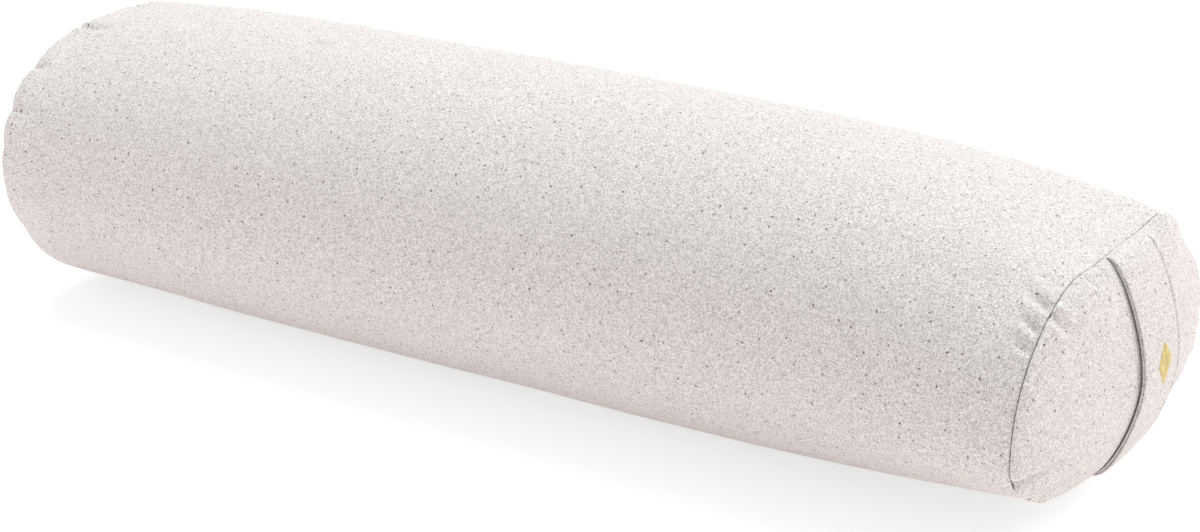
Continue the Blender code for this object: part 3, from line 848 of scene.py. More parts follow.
def woven_look(name, pale, deep, yarn, bump, fleck_sizes=(), has_uv=True):
    """A matt woven cotton between two tones, with seed flecks where it is unbleached."""
    made, tree, shader = new_material(name)
    place = place_node(tree, "UVMap", uv_map="cloth").outputs[0] if has_uv else on_object(tree)
    cloth = place_node(tree, "Group", {"Cloth": place, "Yarn": yarn}, node_tree=weave).outputs
    # The Height part paints shade into the low places between the yarns
    parts = [calc(tree, "MULTIPLY_ADD", cloth[part], *by) for part, *by in TONE_PARTS]
    tone = calc(tree, "ADD", calc(tree, "ADD", *parts[:2]), parts[2])
    tone = place_node(tree, "Clamp", {"Value": tone}).outputs[0]
    colour = blend_colours(tree, tone, deep, pale)
    for spacing, size, share, strength in fleck_sizes:
        inputs = {"Cloth": place, "Spacing": spacing, "Size": size, "Share": share}
        dots = place_node(tree, "Group", inputs, node_tree=flecks).outputs["Mask"]
        colour = blend_colours(tree, calc(tree, "MULTIPLY", dots, strength), colour, FLECK_TONE)
    relief = calc(tree, "MULTIPLY_ADD", cloth["Tilt"], 2.0, calc(tree, "MULTIPLY", cloth["Height"], 0.6))
    plug(tree, shader, {"Base Color": colour, "Normal": raised(tree, relief, bump, yarn * 0.5), **COTTON})
    return made


canvas = woven_look("natural canvas", (0.94, 0.915, 0.89), (0.59, 0.565, 0.545), 0.0007, 0.9, FLECKS)
lining = woven_look("thin cotton lining", (0.90, 0.88, 0.84), (0.76, 0.73, 0.69), 0.0004, 0.4)
binding = woven_look("binding tape", (0.88, 0.85, 0.81), (0.74, 0.71, 0.66), 0.0007, 0.5)
tape_look = woven_look("zip tape", (0.85, 0.82, 0.77), (0.70, 0.67, 0.62), 0.0005, 0.5, has_uv=False)
print("cloths:", [look.name for look in (canvas, lining, binding, tape_look)])

# %% [markdown]
# ## Sewing thread
# Sewing thread is two strands wound round each other. At a quarter of a millimetre a wave
# of two tones looks the same as modelled strands. The seam thread's dark grey is painted shade.

# %% Thread finishes
TWIST_SCALE = 900.0


def twisted_thread(name, deep, pale):
    """Sewing thread: two tones wound round each other."""
    made, tree, shader = new_material(name)
    inputs = {"Vector": on_object(tree), "Scale": TWIST_SCALE, "Distortion": 2.0}
    twist = place_node(tree, "TexWave", inputs).outputs["Fac"]
    colour = blend_colours(tree, twist, deep, pale)
    plug(tree, shader, {"Base Color": colour, "Normal": raised(tree, twist, 0.4), "Roughness": 0.75})
    return made


thread_look = twisted_thread("cotton sewing thread", (0.66, 0.61, 0.56), (0.82, 0.78, 0.73))
# The seam thread's dark grey is painted shade: it stands for the shade in the seams' grooves
painted_shade_seam_look = twisted_thread("seam thread darkened as painted shade", (0.22, 0.21, 0.20), (0.36, 0.34, 0.32))
print("threads:", thread_look.name, "and", painted_shade_seam_look.name)

# %% [markdown]
# ## The long tube of canvas
# The tube is one piece of canvas, joined along its back, where a slot holds the zip. Rings of
# points stand close together near the two seams, where the puckers are, and far apart in the
# smooth middle. At the seams and at the slot's lips the cloth turns in, and beyond the slot
# the join is a plain sewn line. A subdivision surface could round the turned edges, but a few
# extra rows at exact distances give them with far fewer faces.

# %% Rows and columns of a tube
SLOT_HALF = 0.0055
STITCH_OFF = 0.0045
COVER_ZIP_HALF = 0.2535
INNER_ZIP_HALF = 0.125
TURN_IN = (0.0, 0.0002, 0.0005, 0.0009, 0.0015, 0.0025)
BESIDE_LIP = np.array([0.0, 0.0003, 0.0008, 0.0015, 0.0035, STITCH_OFF, 0.0055])
ACROSS_SLOT = (0.0006, 0.0014, 0.0032)
FOLD_ZONE = (0.0045, 0.060)
FAR_ASIDE = 1.0


def tube_columns(slot_angle, count):
    """Angles round the tube from its zip's middle, and their distances from that line."""
    half = np.concatenate([ACROSS_SLOT, SLOT_HALF + BESIDE_LIP])
    offsets = np.concatenate([-half[::-1], [0.0], half])
    angles = np.arcsin(offsets / MIDDLE.above)
    rest = np.linspace(angles[-1], math.tau + angles[0], count)[1:-1]
    turned = slot_angle + np.concatenate([angles[len(half):], rest, angles[: len(half)] + math.tau])
    far_off = np.full(len(rest), FAR_ASIDE)
    return turned, np.concatenate([offsets[len(half):], far_off, offsets[: len(half)]])


def tube_stations(end, slot_half, fine, coarse):
    """Where the rings stand along the tube, closest at the seams."""
    near_seam = end - np.concatenate([TURN_IN, np.arange(*FOLD_ZONE, fine)])
    slot_end = slot_half + BESIDE_LIP[:4]
    count = max(3, round((near_seam[-1] - slot_half) / coarse))
    between = np.linspace(near_seam[-1], slot_end[-1], count)
    inside = np.linspace(slot_half, 0.0, round(slot_half / coarse) + 1)
    half = np.concatenate([near_seam, between[1:-1], slot_end[:0:-1], inside])
    return MIDDLE_X + np.concatenate([-half, half[-2::-1]])


def arc_map(grid):
    """UVs in metres: distance round the tube, then distance along it."""
    round_it = run_along(np.concatenate([grid, grid[:, :1]], axis=1), axis=1)
    along = np.repeat(grid[:, :1, 0], round_it.shape[1], axis=1)
    return np.stack([round_it, along], axis=-1)


print("rings on the cover:", len(tube_stations(HALF_TUBE, COVER_ZIP_HALF, 0.002, 0.010)))

# %% The tube of the cover
CANVAS_THICKNESS = 0.0012
LIP_ROLL = 0.0014
LINE_WIDTH = 0.0009
JOIN_DEPTH = 0.0009
JOIN_START = (0.001, 0.004)
STITCH_DEPTH = 0.0003
ON_EDGE = 1e-6


def tube_sheet(name, layer, slot_angle, slot_half, count, fine, coarse):
    """The mesh of a tube, with turned-in seams, folds and a slot for its zip."""
    angles, aside = tube_columns(slot_angle, count)
    xs = tube_stations(HALF_TUBE - layer.end_ease, slot_half, fine, coarse)
    grid = skin(xs[:, None], angles[None], layer)
    uv = arc_map(grid)
    past_end = np.abs(xs[:, None] - MIDDLE_X) - slot_half
    off_slot = np.maximum(past_end, np.abs(aside)[None] - SLOT_HALF)
    to_seam = HALF_TUBE - layer.end_ease - np.abs(xs - MIDDLE_X)
    height = tube_relief(xs[:, None], angles[None]) + soft_lumps(grid)
    height -= rolled(to_seam)[:, None] + rolled(np.maximum(off_slot, 0.0), LIP_ROLL)
    join = np.exp(-((aside[None] / LINE_WIDTH) ** 2)) * smooth(*JOIN_START, past_end)
    height -= JOIN_DEPTH * join
    stitch_line = np.exp(-(((off_slot - STITCH_OFF) / LINE_WIDTH) ** 2))
    height -= STITCH_DEPTH * stitch_line * (past_end < STITCH_OFF + 0.001)
    grid = pushed_out(grid + sheet_normals(grid) * height[..., None], xs[:, None] - FAR_SEAM)
    grid[..., 2] = np.maximum(grid[..., 2], layer.base)
    off_slot = np.hstack([off_slot, off_slot[:, :1]])
    in_slot = np.maximum(off_slot[:-1, :-1], off_slot[1:, 1:]) < ON_EDGE
    return sheet_mesh(name, grid, uv, keep=~in_slot)


mesh = tube_sheet("cover_tube_cloth", COVER, 0.0, COVER_ZIP_HALF, count=400, fine=0.002, coarse=0.010)
tube = add_piece("cover_tube_cloth", mesh, canvas, stands_for=["cover_tube"])
thicken(tube, CANVAS_THICKNESS)

# %% [markdown]
# ## The two end panels
# Each panel is a single piece of canvas, pushed out into a dome by the filling. The dome is
# the CAD model's own, and the folds on it start at the same seam as the tube's, but go their
# own way. They could be a displace modifier's work, if it knew how far away the seam is.

# %% End panels
def from_axis(dome, ring):
    """The way out from a dome's axis to each point of its ring."""
    return ring - np.array([ring[0, 0], 0.0, dome.apex])


def panel_sheet(name, dome, layer, depth, columns, steps):
    """The mesh of an end panel with its turned-in edge and its folds."""
    angles = np.linspace(0, math.tau, columns, endpoint=False)
    grid, apex = panel_rows(dome, layer, depth, angles, steps)
    distance = run_along(grid)
    normals = sheet_normals(grid) * dome.sign
    outward = from_axis(dome, seam_ring(dome, layer, angles))
    normals[0] = unit(outward)
    height = panel_relief(dome, angles[None], distance) + soft_lumps(grid) - rolled(distance)
    to_tip = distance[-1] + np.linalg.norm(apex - grid[-1], axis=-1) - distance
    heading = np.arctan2(outward[:, 2], outward[:, 1])
    uv = np.stack([to_tip * np.cos(heading), to_tip * np.sin(heading)], axis=-1) + 2.0
    uv = np.concatenate([uv, uv[:, :1]], axis=1)
    grid = grid + normals * height[..., None]
    if dome.side == "far":
        grid = pushed_out(grid, distance)
    grid[..., 2] = np.maximum(grid[..., 2], layer.base)
    apex[0] += dome.sign * soft_lumps(apex[None])[0]
    return sheet_mesh(name, grid, uv, flip=dome.sign < 0, tips=(None, apex))


for dome in DOMES:
    name = f"{dome.side}_panel_cloth"
    mesh = panel_sheet(name, dome, COVER, dome.depth, 400, 56)
    panel = add_piece(name, mesh, canvas, stands_for=[f"{dome.side}_end_panel"])
    thicken(panel, CANVAS_THICKNESS)

# %% [markdown]
# ## The carry strap
# The strap is a long piece of canvas folded in from both sides and stitched, so each edge
# shows two rounded layers with a slit between them. It lies close over the domed end and is
# caught in the seam above and below. A flat ribbon with thickness could stand for it, but the
# double edge is what shows in the picture, so its whole outline is swept over the dome.

# %% The strap's path over the dome
HANDLE_GAP = 0.0012
HANDLE_DRAPE = 0.6
HANDLE_FULLNESS = 0.6
SEAM_EASE = 0.0003
HALVINGS = 30


def near_seam_ends(y):
    """The heights of the near seam above and below, at a distance across it."""
    reach = (1 - (np.abs(y) / NEAR.half_width) ** NEAR.squareness) ** (1 / NEAR.squareness)
    return NEAR.level + NEAR.above * reach - seam_dip(y), NEAR.level - NEAR.below * reach


def panel_reach(y, z):
    """How far out along X the near panel lies at points across and up it."""
    inner, outer = np.zeros(np.shape(z)), np.ones(np.shape(z))
    for _ in range(HALVINGS):
        share = (inner + outer) / 2
        across = y / share
        up = NEAR_END.apex + (z - NEAR_END.apex) / share
        raised_up = up + seam_dip(across)
        above = np.abs(raised_up - NEAR.level) / NEAR.above
        below = np.abs(up - NEAR.level) / NEAR.below
        rise = np.where(raised_up > NEAR.level, above, below)
        excess = (np.abs(across) / NEAR.half_width) ** NEAR.squareness + rise**NEAR.squareness
        inner = np.where(excess > 1, share, inner)
        outer = np.where(excess > 1, outer, share)
    start = TOUCH + COLLAR
    dome_out = (1 - outer**NEAR_END.fullness) ** (1 / NEAR_END.fullness)
    return MIDDLE_X + HALF_TUBE + start + (NEAR_END.depth - start) * dome_out


def strap_surface(y, along):
    """The strap's inner face: along is 0 at the top seam and 1 at the bottom seam."""
    top, bottom = near_seam_ends(y)
    z = mix(top - SEAM_EASE, bottom + SEAM_EASE, along)
    away = np.sin(math.pi * along)
    lift = TOUCH + (HANDLE_GAP - TOUCH) * away**HANDLE_FULLNESS
    drape = mix(1.0, HANDLE_DRAPE, away)
    top, bottom = near_seam_ends(0.0)
    centre_z = np.clip(z, bottom + SEAM_EASE, top - SEAM_EASE)
    x = mix(panel_reach(np.zeros_like(z), centre_z), panel_reach(y, z), drape)
    return np.stack([x + lift, y, z], axis=-1)


print("the near seam in the middle, from", [round(float(z), 4) for z in near_seam_ends(0.0)][::-1])

# %% The strap's outline and the way it faces
HANDLE_WIDTH = 0.054
HANDLE_ASIDE = 0.0060
HANDLE_THICKNESS = 0.0028
CROWN = 0.0002
SLIT = 0.0004
FLAT_POINTS = 19
LIP_DEGREES = (0, 30, 60, 90, 125)
PATH_NUDGE = 0.0008
# The groove beside the far hem: distances from the edge, and depths
HEM_GROOVE = (
    (0.0046, 0.0), (0.0036, 0.0004), (0.0031, 0.0008), (0.0028, 0.0008), (0.0025, 0.0),
    (0.0014, -0.0001),
)


def strap_outline():
    """The strap's section: (across, height) points from one edge round to the other."""
    half, thick = HANDLE_WIDTH / 2, HANDLE_THICKNESS
    radius = thick / 4
    core = half - radius
    lip = [(radius * math.sin(a), radius * math.cos(a)) for a in np.radians(LIP_DEGREES)]
    outer = [(core + x, thick - radius + y) for x, y in lip]
    inner = [(core + x, radius - y) for x, y in lip[::-1]]
    right = outer + [(core - SLIT, thick / 2)] + inner
    left = [(-x, y) for x, y in right[::-1]]
    flat = np.linspace(-core, core, FLAT_POINTS)[1:-1]
    top = [(x, thick + CROWN * math.cos(x / core * math.pi / 2)) for x in flat[:-1]]
    top += [(core - at, thick - below) for at, below in HEM_GROOVE]
    under = [(x, 0.0) for x in flat[::-1]]
    return np.array(top + right + under + left)


def strap_frame(across, along):
    """Points of the strap's inner face, and the way that the strap faces there."""
    across, along = np.broadcast_arrays(np.asarray(across, float), np.asarray(along, float))
    above = strap_surface(across, np.clip(along - PATH_NUDGE, 0.0, 1.0))
    below = strap_surface(across, np.clip(along + PATH_NUDGE, 0.0, 1.0))
    right = strap_surface(across + PATH_NUDGE, along)
    facing = unit(np.cross(above - below, right - strap_surface(across - PATH_NUDGE, along)))
    return strap_surface(across, along), facing * np.sign(facing[..., :1])


print("the strap's middle:", strap_frame(HANDLE_ASIDE, 0.5)[0].round(4))

# %% The strap
STRAP_ROWS = 96
SQUEEZED = 0.30
SQUEEZE_RUN = 0.011
SINK = 0.0014
SINK_RUN = 0.0035
STRAP_LUMPS = 0.0004
LUMPS_RUN = 0.02
UV_AWAY = 3.0
ON_TOP = 8

outline = strap_outline()
along = (0.5 - 0.5 * np.cos(math.pi * np.linspace(0.0, 1.0, STRAP_ROWS)))[:, None]
base, facing = strap_frame(HANDLE_ASIDE + outline[None, :, 0], along)


def into_seam(row, upward):
    """Three more rows that carry the strap's end over the panel's edge into the seam."""
    more = np.repeat(base[row][None], 3, axis=0)
    more[..., 0] = NEAR_SEAM + np.array([0.0002, 0.0007, 0.0014])[:, None]
    return more, np.broadcast_to([0.0, 0.0, upward], more.shape)


top_rows, top_facing = into_seam(0, 1.0)
low_rows, low_facing = into_seam(-1, -1.0)
base = np.concatenate([top_rows, base, low_rows[::-1]])
facing = np.concatenate([top_facing, facing, low_facing[::-1]])
run = run_along(base[:, ON_TOP])
from_seam = np.minimum(run, run[-1] - run)[:, None]
squeeze = mix(SQUEEZED, 1.0, smooth(0.0, SQUEEZE_RUN, from_seam))
sink = SINK * (1 - smooth(0.0, SINK_RUN, from_seam))
lumps = soft_lumps(base, STRAP_LUMPS) * smooth(0.0, LUMPS_RUN, from_seam)
strap_grid = base + facing * (outline[None, :, 1] * squeeze - sink + lumps)[..., None]
outline_run = run_along(np.vstack([outline, outline[:1]]))
strap_uv = np.stack(np.broadcast_arrays(outline_run[None] + UV_AWAY, run[:, None] + UV_AWAY), axis=-1)
mesh = sheet_mesh("carry_strap", strap_grid, strap_uv, flip=True, caps=True)
strap = add_piece("carry_strap", mesh, canvas, None, ["carry_handle"])
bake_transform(strap)
print("the strap's length over the dome:", round(float(run[-1]), 4))

# %% [markdown]
# ## Threads as fine cords
# Stitches, embroidery and the zip's coils are all thread or wire laid along a path. Curves
# with a bevel could draw them one at a time, but hundreds of separate splines are slow to
# make. One helper sweeps a small ring of points along many paths at once.

# %% Cords along many paths
def cord_mesh(name, paths, facing, radii, sides=6):
    """One mesh of many short cords. paths: cords x points x 3. facing: a direction for each
    point that isn't along the path. radii: the radius for each point."""
    tangent = unit(np.gradient(paths, axis=1))
    first = unit(np.cross(tangent, facing))
    second = np.cross(first, tangent)
    turns = np.linspace(0, math.tau, sides, endpoint=False)[:, None]
    ring = first[..., None, :] * np.cos(turns) + second[..., None, :] * np.sin(turns)
    points = paths[..., None, :] + ring * np.broadcast_to(radii, paths.shape[:2])[..., None, None]
    index = np.arange(points.size // 3).reshape(points.shape[:-1])
    around = np.roll(index, -1, axis=2)
    walls = np.stack([index[:, :-1], around[:, :-1], around[:, 1:], index[:, 1:]], axis=-1)
    faces = walls.reshape(-1, 4)[:, ::-1].tolist()
    faces += index[:, 0].tolist() + index[:, -1, ::-1].tolist()
    mesh = bpy.data.meshes.new(name)
    mesh.from_pydata(points.reshape(-1, 3).tolist(), [], faces)
    mesh.shade_smooth()
    return mesh


print("cords: ready")

# %% [markdown]
# ## The stitches in the two end seams
# A plain seam hides its stitches, but where the filling pulls it open the thread shows as fine
# dashes at the bottom of the groove. A dashed line in the material would look flat there, so
# each stitch is a short cord that follows the seam's ring, a little below the cloth.

# %% Rows of stitches
Stitch = namedtuple("Stitch", "length gap radius proud")

STITCH_BEATS = 6
STITCH_DIVE = 1.6
STITCH_THINNING = 0.35


def stitch_row(name, path, outward, stitch, look):
    """Stitches along a path: each rises out of the cloth and dives back in at its ends."""
    length, gap, radius, proud = stitch
    run = run_along(path)
    count = int(run[-1] // (length + gap))
    pitch = run[-1] / count
    beat = np.linspace(0.0, 1.0, STITCH_BEATS)
    at = np.arange(count)[:, None] * pitch + gap / 2 + beat[None] * (pitch - gap)

    def follow(values):
        return np.stack([np.interp(at, run, values[:, i]) for i in range(3)], axis=-1)

    away = follow(outward)
    dive = (2 * beat - 1) ** 4
    points = follow(path) + away * (proud - dive * STITCH_DIVE * radius)[None, :, None]
    points[..., 2] = np.maximum(points[..., 2], radius)
    mesh = cord_mesh(name, points, away, radius * (1 - STITCH_THINNING * dive)[None])
    return add_piece(name, mesh, look)


# %% Seam stitches
SEAM_STITCH = Stitch(0.0024, 0.0009, 0.00026, -0.0010)
SEAM_POINTS = 2401

angles = np.linspace(0, math.tau, SEAM_POINTS)
at_seam = np.zeros(SEAM_POINTS)
for dome in DOMES:
    ring = swollen_ring(dome, COVER, angles)
    outward = unit(from_axis(dome, ring))
    lumps = soft_lumps(ring)
    if dome.side == "near":
        height = tube_relief(ring[:, 0], angles) - swell_height("near", angles, 0.0)
    else:
        height = panel_relief(dome, angles, at_seam)
        ring = pushed_out(ring, at_seam)
    ring[:, 0] += dome.sign * TOUCH / 2
    path = ring + outward * (height + lumps)[:, None]
    # The stitches take the dark seam thread, which paints the shade of the seam's groove
    stitch_row(f"{dome.side}_seam_stitches", path, outward, SEAM_STITCH, painted_shade_seam_look)

# %% [markdown]
# ## The topstitching round the zip
# The canvas beside the zip is sewn down to its tapes by a long rectangle of stitches in a
# thicker thread. The same helper lays it, at one distance from the slot's lips.

# %% The topstitching
TOP_STITCH = Stitch(0.0030, 0.0010, 0.00028, 0.00010)
LONG_POINTS = 400
SHORT_POINTS = 24


def zip_frame_path(offset):
    """A rectangle round the cover's slot, at a distance from its lips."""
    half, rise = COVER_ZIP_HALF + offset, SLOT_HALF + offset
    lengthwise = np.linspace(-half, half, LONG_POINTS)
    upward = np.linspace(-rise, rise, SHORT_POINTS)[1:-1]
    end, side = np.full(len(upward), half), np.full(LONG_POINTS, rise)
    xs = np.concatenate([lengthwise, end, lengthwise[::-1], -end])
    up = np.concatenate([side, upward[::-1], -side, upward])
    return MIDDLE_X + xs, np.arcsin(up / MIDDLE.above)


path = skin(*zip_frame_path(STITCH_OFF), COVER)
path[:, 1] += soft_lumps(path)
outward = np.tile([0.0, 1.0, 0.0], (len(path), 1))
stitch_row("zip_topstitching", path, outward, TOP_STITCH, thread_look)

# %% [markdown]
# ## A lozenge of golden thread
# A small plain lozenge is embroidered in the middle of the strap. It is satin stitch: threads
# laid side by side, all slanting one way in the left half and the other way in the right half,
# so the two halves catch the light differently. Each thread is a cord that lies on the strap
# and bows up a little in its middle. An image would stay flat and dull.

# %% Golden thread
gold_look, tree, shader = new_material("golden thread")
place = on_object(tree)
tint = calc(tree, "MULTIPLY_ADD", cloud(tree, place, 160.0), 1.6, -0.3)
inputs = {
    "Base Color": blend_colours(tree, tint, (0.46, 0.34, 0.08), (0.80, 0.67, 0.25)),
    "Normal": raised(tree, cloud(tree, place, 1400.0), 0.5),
    "Roughness": 0.38,
    "Sheen Weight": 0.2,
}
plug(tree, shader, inputs)
print("golden thread:", len(tree.nodes), "nodes")

# %% The lozenge
LOZENGE_HALF_WIDTH = 0.0108
LOZENGE_HALF_HEIGHT = 0.0128
LOZENGE_OVER = 0.006
SHORTEST = 6
GOLD_PITCH = 0.00052
GOLD_RADIUS = 0.00032
GOLD_SLANT = 0.35
GOLD_BOW = np.array([-0.0002, 0.00012, 0.0002, 0.00024, 0.0002, 0.00012, -0.0002])


def strap_top(across, up):
    """Points on the strap's outer face, by distances from its middle."""
    top, bottom = near_seam_ends(HANDLE_ASIDE + across)
    middle_z = strap_surface(np.array(HANDLE_ASIDE), np.array(0.5))[2]
    along = (top - SEAM_EASE - middle_z - up) / (top - bottom - 2 * SEAM_EASE)
    base, facing = strap_frame(HANDLE_ASIDE + across, along)
    crown = CROWN * np.cos(across / (HANDLE_WIDTH / 2) * math.pi / 2)
    lift = HANDLE_THICKNESS + crown + soft_lumps(base, STRAP_LUMPS)
    return base + facing * lift[..., None], facing


paths, outs = [], []
spread = np.linspace(0.0, LOZENGE_HALF_WIDTH, 60)
for side in (-1, 1):
    for level in np.arange(-LOZENGE_HALF_HEIGHT, LOZENGE_HALF_HEIGHT + LOZENGE_OVER, GOLD_PITCH):
        up = level - GOLD_SLANT * spread
        inside = spread / LOZENGE_HALF_WIDTH + np.abs(up) / LOZENGE_HALF_HEIGHT <= 1.0
        if inside.sum() < SHORTEST:
            continue
        start, stop = spread[inside][0], spread[inside][-1]
        reach = np.linspace(max(start, 0.0001), stop, len(GOLD_BOW))
        points, facing = strap_top(side * reach, level - GOLD_SLANT * reach)
        paths.append(points + facing * GOLD_BOW[:, None])
        outs.append(facing)
mesh = cord_mesh("lozenge_thread", np.array(paths), np.array(outs), GOLD_RADIUS)
add_piece("lozenge_thread", mesh, gold_look, "handle", ["handle_lozenge"])
print("threads in the lozenge:", len(paths))

# %% [markdown]
# ## What the zips are made of
# The coils are nylon, a little shiny, and the sliders, pulls and stops are brushed metal. A
# plain grey would look like paint. Noise drawn out along the zip stretches its highlights.

# %% Zip finishes
BRUSH_STRETCH = (120.0, 2400.0, 2400.0)

coil_look, tree, shader = new_material("nylon coil")
tint = cloud(tree, on_object(tree), 300.0)
colour = blend_colours(tree, tint, (0.70, 0.67, 0.61), (0.86, 0.83, 0.78))
plug(tree, shader, {"Base Color": colour, "Roughness": 0.42})

metal_look, tree, shader = new_material("brushed metal")
drawn = calc_vector(tree, "MULTIPLY", {0: on_object(tree), 1: BRUSH_STRETCH})
brush = cloud(tree, drawn, 1.0)
inputs = {
    "Base Color": blend_colours(tree, brush, (0.52, 0.51, 0.49), (0.72, 0.71, 0.69)),
    "Roughness": calc(tree, "MULTIPLY_ADD", brush, 0.25, 0.22),
    "Normal": raised(tree, brush, 0.2),
    "Metallic": 1.0,
}
plug(tree, shader, inputs)
print("zip finishes:", coil_look.name, "and", metal_look.name)

# %% [markdown]
# ## The wound coils
# On the real zip a coil is a nylon wire wound like a spring, so a wound cord takes the place
# of each plain CAD strip. An array modifier could repeat one turn, but one path is simpler.
# The two halves are wound half a turn apart, which lets their loops mesh.

# %% The wound coils
COIL_PITCH = 0.00125
COIL_WIRE = 0.00034
COIL_POINTS = 10
ZIPS = ("cover_zip", "inner_zip")


def wound_coil(name, node, phase):
    """A spring of nylon wire that fills a CAD strip's place."""
    low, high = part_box(node)
    turns = (high.x - low.x - 2 * COIL_WIRE) / COIL_PITCH
    at = np.arange(0, turns, 1 / COIL_POINTS)
    wind = math.tau * (at + phase)
    middle = (low + high) / 2
    xs = low.x + COIL_WIRE + at * COIL_PITCH
    ys = middle.y + (high.y - low.y - 2 * COIL_WIRE) / 2 * np.sin(wind)
    zs = middle.z + (high.z - low.z - 2 * COIL_WIRE) / 2 * np.cos(wind)
    path = np.stack([xs, ys, zs], axis=-1)[None]
    facing = np.broadcast_to([1.0, 0.0, 0.0], path.shape)
    mesh = cord_mesh(name, path, facing, COIL_WIRE, sides=5)
    add_piece(name, mesh, coil_look, "bolster", [node])


for zip_name in ZIPS:
    for row, phase in (("upper", 0.0), ("lower", 0.5)):
        wound_coil(f"{zip_name}_{row}_spring", f"{zip_name}_{row}_coil", phase)

# %% [markdown]
# ## CAD parts that stay
# Sliders, pulls, stops and tapes are good solids already. Modelling them again would only put
# them out of place, so they keep their meshes and get a finish and softened edges.

# %% Finishes on the CAD parts that stay
# Each row: the end of the part's name, its finish, and the width of its softened edges
KEPT_PARTS = [(part, metal_look, 0.00018) for part in ("slider", "pull", "bottom_stop")]
KEPT_PARTS += [(f"{row}_stop", metal_look, 0.00018) for row in ("upper", "lower")]
KEPT_PARTS += [(f"{row}_tape", tape_look, 0.0001) for row in ("upper", "lower")]
SHARP = math.radians(40)


def finish_part(node, look, softening):
    """Gives a CAD node its finish and softened edges. Its mesh and place stay as they are."""
    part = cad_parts[node]
    part.data.materials.clear()
    part.data.materials.append(look)
    edge = part.modifiers.new("softened edges", "BEVEL")
    edge.width = softening
    edge.segments = 2
    edge.limit_method = "ANGLE"
    edge.angle_limit = SHARP


for zip_name in ZIPS:
    for part, look, softening in KEPT_PARTS:
        finish_part(f"{zip_name}_{part}", look, softening)
print("finished CAD parts:", len(ZIPS) * len(KEPT_PARTS))

# %% [markdown]
# ## The binding tapes inside the seams
# A narrow tape binds the raw edges inside each end seam. A curve with a flat bevel could be
# one; rings of the same skin take the folds along, so that no layer comes through another.

# %% The binding tapes
BINDING_REACHES = np.array([0.010, 0.0075, 0.005, 0.003, 0.0018])
BINDING_COLUMNS = 240
BINDING_THICKNESS = 0.0008

angles = np.linspace(0, math.tau, BINDING_COLUMNS, endpoint=False)[None]
for dome in DOMES:
    xs = np.sort(MIDDLE_X + dome.sign * (HALF_TUBE - BINDING_REACHES))[:, None]
    grid = skin(xs, angles, BINDING)
    uv = arc_map(grid)
    height = tube_relief(xs, angles) + soft_lumps(grid)
    grid = pushed_out(grid + sheet_normals(grid) * height[..., None], xs - FAR_SEAM)
    grid[..., 2] = np.maximum(grid[..., 2], BINDING.base)
    name = f"{dome.side}_binding_tape"
    mesh = sheet_mesh(name, grid, uv)
    tape = add_piece(name, mesh, binding, "bolster", [f"{dome.side}_seam_binding"])
    thicken(tape, BINDING_THICKNESS)

# %% [markdown]
# ## The inner bag
# The filling is kept in a bag of thin cotton with a zip of its own. Scaling the cover down
# would shorten the slot too, so the cover's functions make the bag, a little further in.

# %% The inner bag of thin cotton
BAG_DOME_EASE = 0.0040
BAG_COLUMNS = 200
BAG_STEPS = (0.003, 0.016)
BAG_RINGS = 30
LINING_THICKNESS = 0.0007

mesh = tube_sheet("inner_bag_tube_cloth", BAG, math.pi, INNER_ZIP_HALF, BAG_COLUMNS, *BAG_STEPS)
bag = add_piece("inner_bag_tube_cloth", mesh, lining, "bolster", ["inner_bag_tube"])
thicken(bag, LINING_THICKNESS)
for dome in DOMES:
    name = f"inner_bag_{dome.side}_cloth"
    mesh = panel_sheet(name, dome, BAG, dome.depth + BAG.end_ease - BAG_DOME_EASE, BAG_COLUMNS, BAG_RINGS)
    end = add_piece(name, mesh, lining, "bolster", [f"inner_bag_{dome.side}_end"])
    thicken(end, LINING_THICKNESS)

# %% [markdown]
# ## The filling of husks
# Loose husks fill the bag. Particles could scatter hundreds of thousands of them, but nobody
# would see them, so one solid in the bag's shape stands for them, with a grainy look.

# %% The look of husks
HUSK_SCALE = 260.0

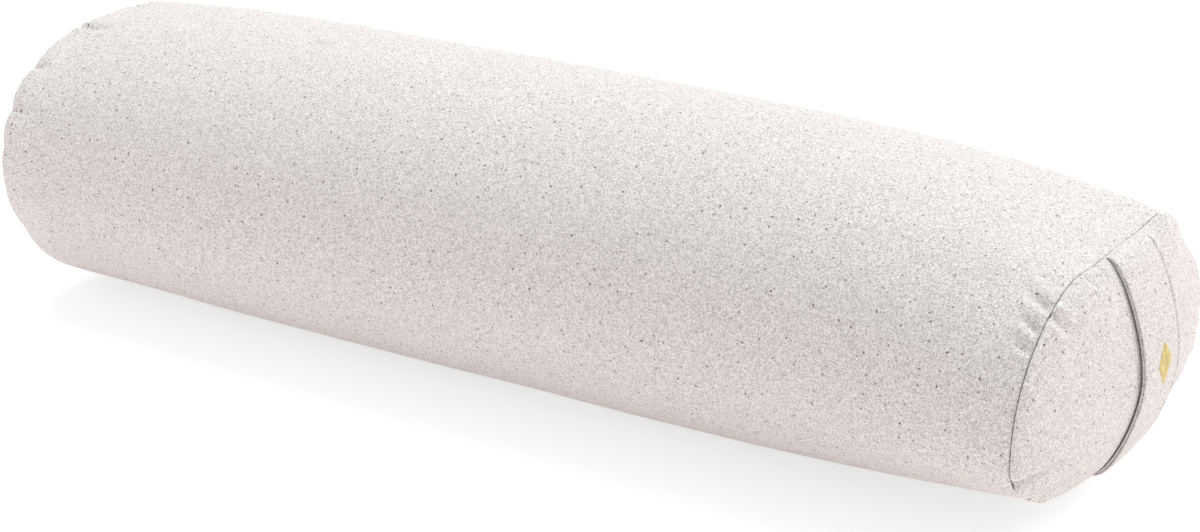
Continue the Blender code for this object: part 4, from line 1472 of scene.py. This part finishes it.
husk_look, tree, shader = new_material("husks")
inputs = {"Vector": on_object(tree), "Scale": HUSK_SCALE}
husks = place_node(tree, "TexVoronoi", inputs).outputs
tone = place_node(tree, "SeparateXYZ", {0: husks["Color"]}).outputs[0]
inputs = {
    "Base Color": blend_colours(tree, tone, (0.30, 0.21, 0.12), (0.72, 0.60, 0.42)),
    "Normal": raised(tree, husks["Distance"], 0.8, 0.0015, invert=True),
    "Roughness": 0.8,
}
plug(tree, shader, inputs)
print("husks:", len(tree.nodes), "nodes")

# %% The husk filling
HUSK_EASE = 0.0018
END_CLEAR = 0.001

fill_angles = np.linspace(0, math.tau, BAG_COLUMNS, endpoint=False)
xs = tube_stations(HALF_TUBE - FILL.end_ease, COVER_ZIP_HALF, *BAG_STEPS)
xs = xs[(xs > xs[0] + END_CLEAR) & (xs < xs[-1] - END_CLEAR)][:, None]
fill_tube = skin(xs, fill_angles[None], FILL)
fill_tube += sheet_normals(fill_tube) * tube_relief(xs, fill_angles[None])[..., None]


def husk_dome(dome):
    """The rings and the tip of one end of the filling, with the panel's folds on them."""
    depth = dome.depth + BAG.end_ease - BAG_DOME_EASE - HUSK_EASE
    rows, tip = panel_rows(dome, FILL, depth, fill_angles, BAG_RINGS, 0.0)
    relief = panel_relief(dome, fill_angles[None], run_along(rows))
    return rows + sheet_normals(rows) * dome.sign * relief[..., None], tip


near_rows, near_tip = husk_dome(NEAR_END)
far_rows, far_tip = husk_dome(FAR_END)
grid = np.concatenate([far_rows[::-1], fill_tube, near_rows])
grid[..., 2] = np.maximum(grid[..., 2], FILL.base)
mesh = sheet_mesh("husk_filling", grid, arc_map(grid), tips=(far_tip, near_tip))
filling = add_piece("husk_filling", mesh, husk_look, "bolster", ["filling"])

# %% [markdown]
# The CAD model's box and the dressed model's box are both worked out, and their sizes are
# printed side by side. The dressed model has to stay within the CAD model's box, but for a
# little cloth that may stand proud.

# %% The boxes and the finish
bpy.context.view_layer.update()
dressed_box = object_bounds()
boxes = {
    "cad": [list(corner) for corner in cad_box],
    "visual": [list(corner) for corner in dressed_box],
}
for name, (low, high) in boxes.items():
    print(name, "box in mm:", [round((b - a) * 1000, 1) for a, b in zip(low, high)])
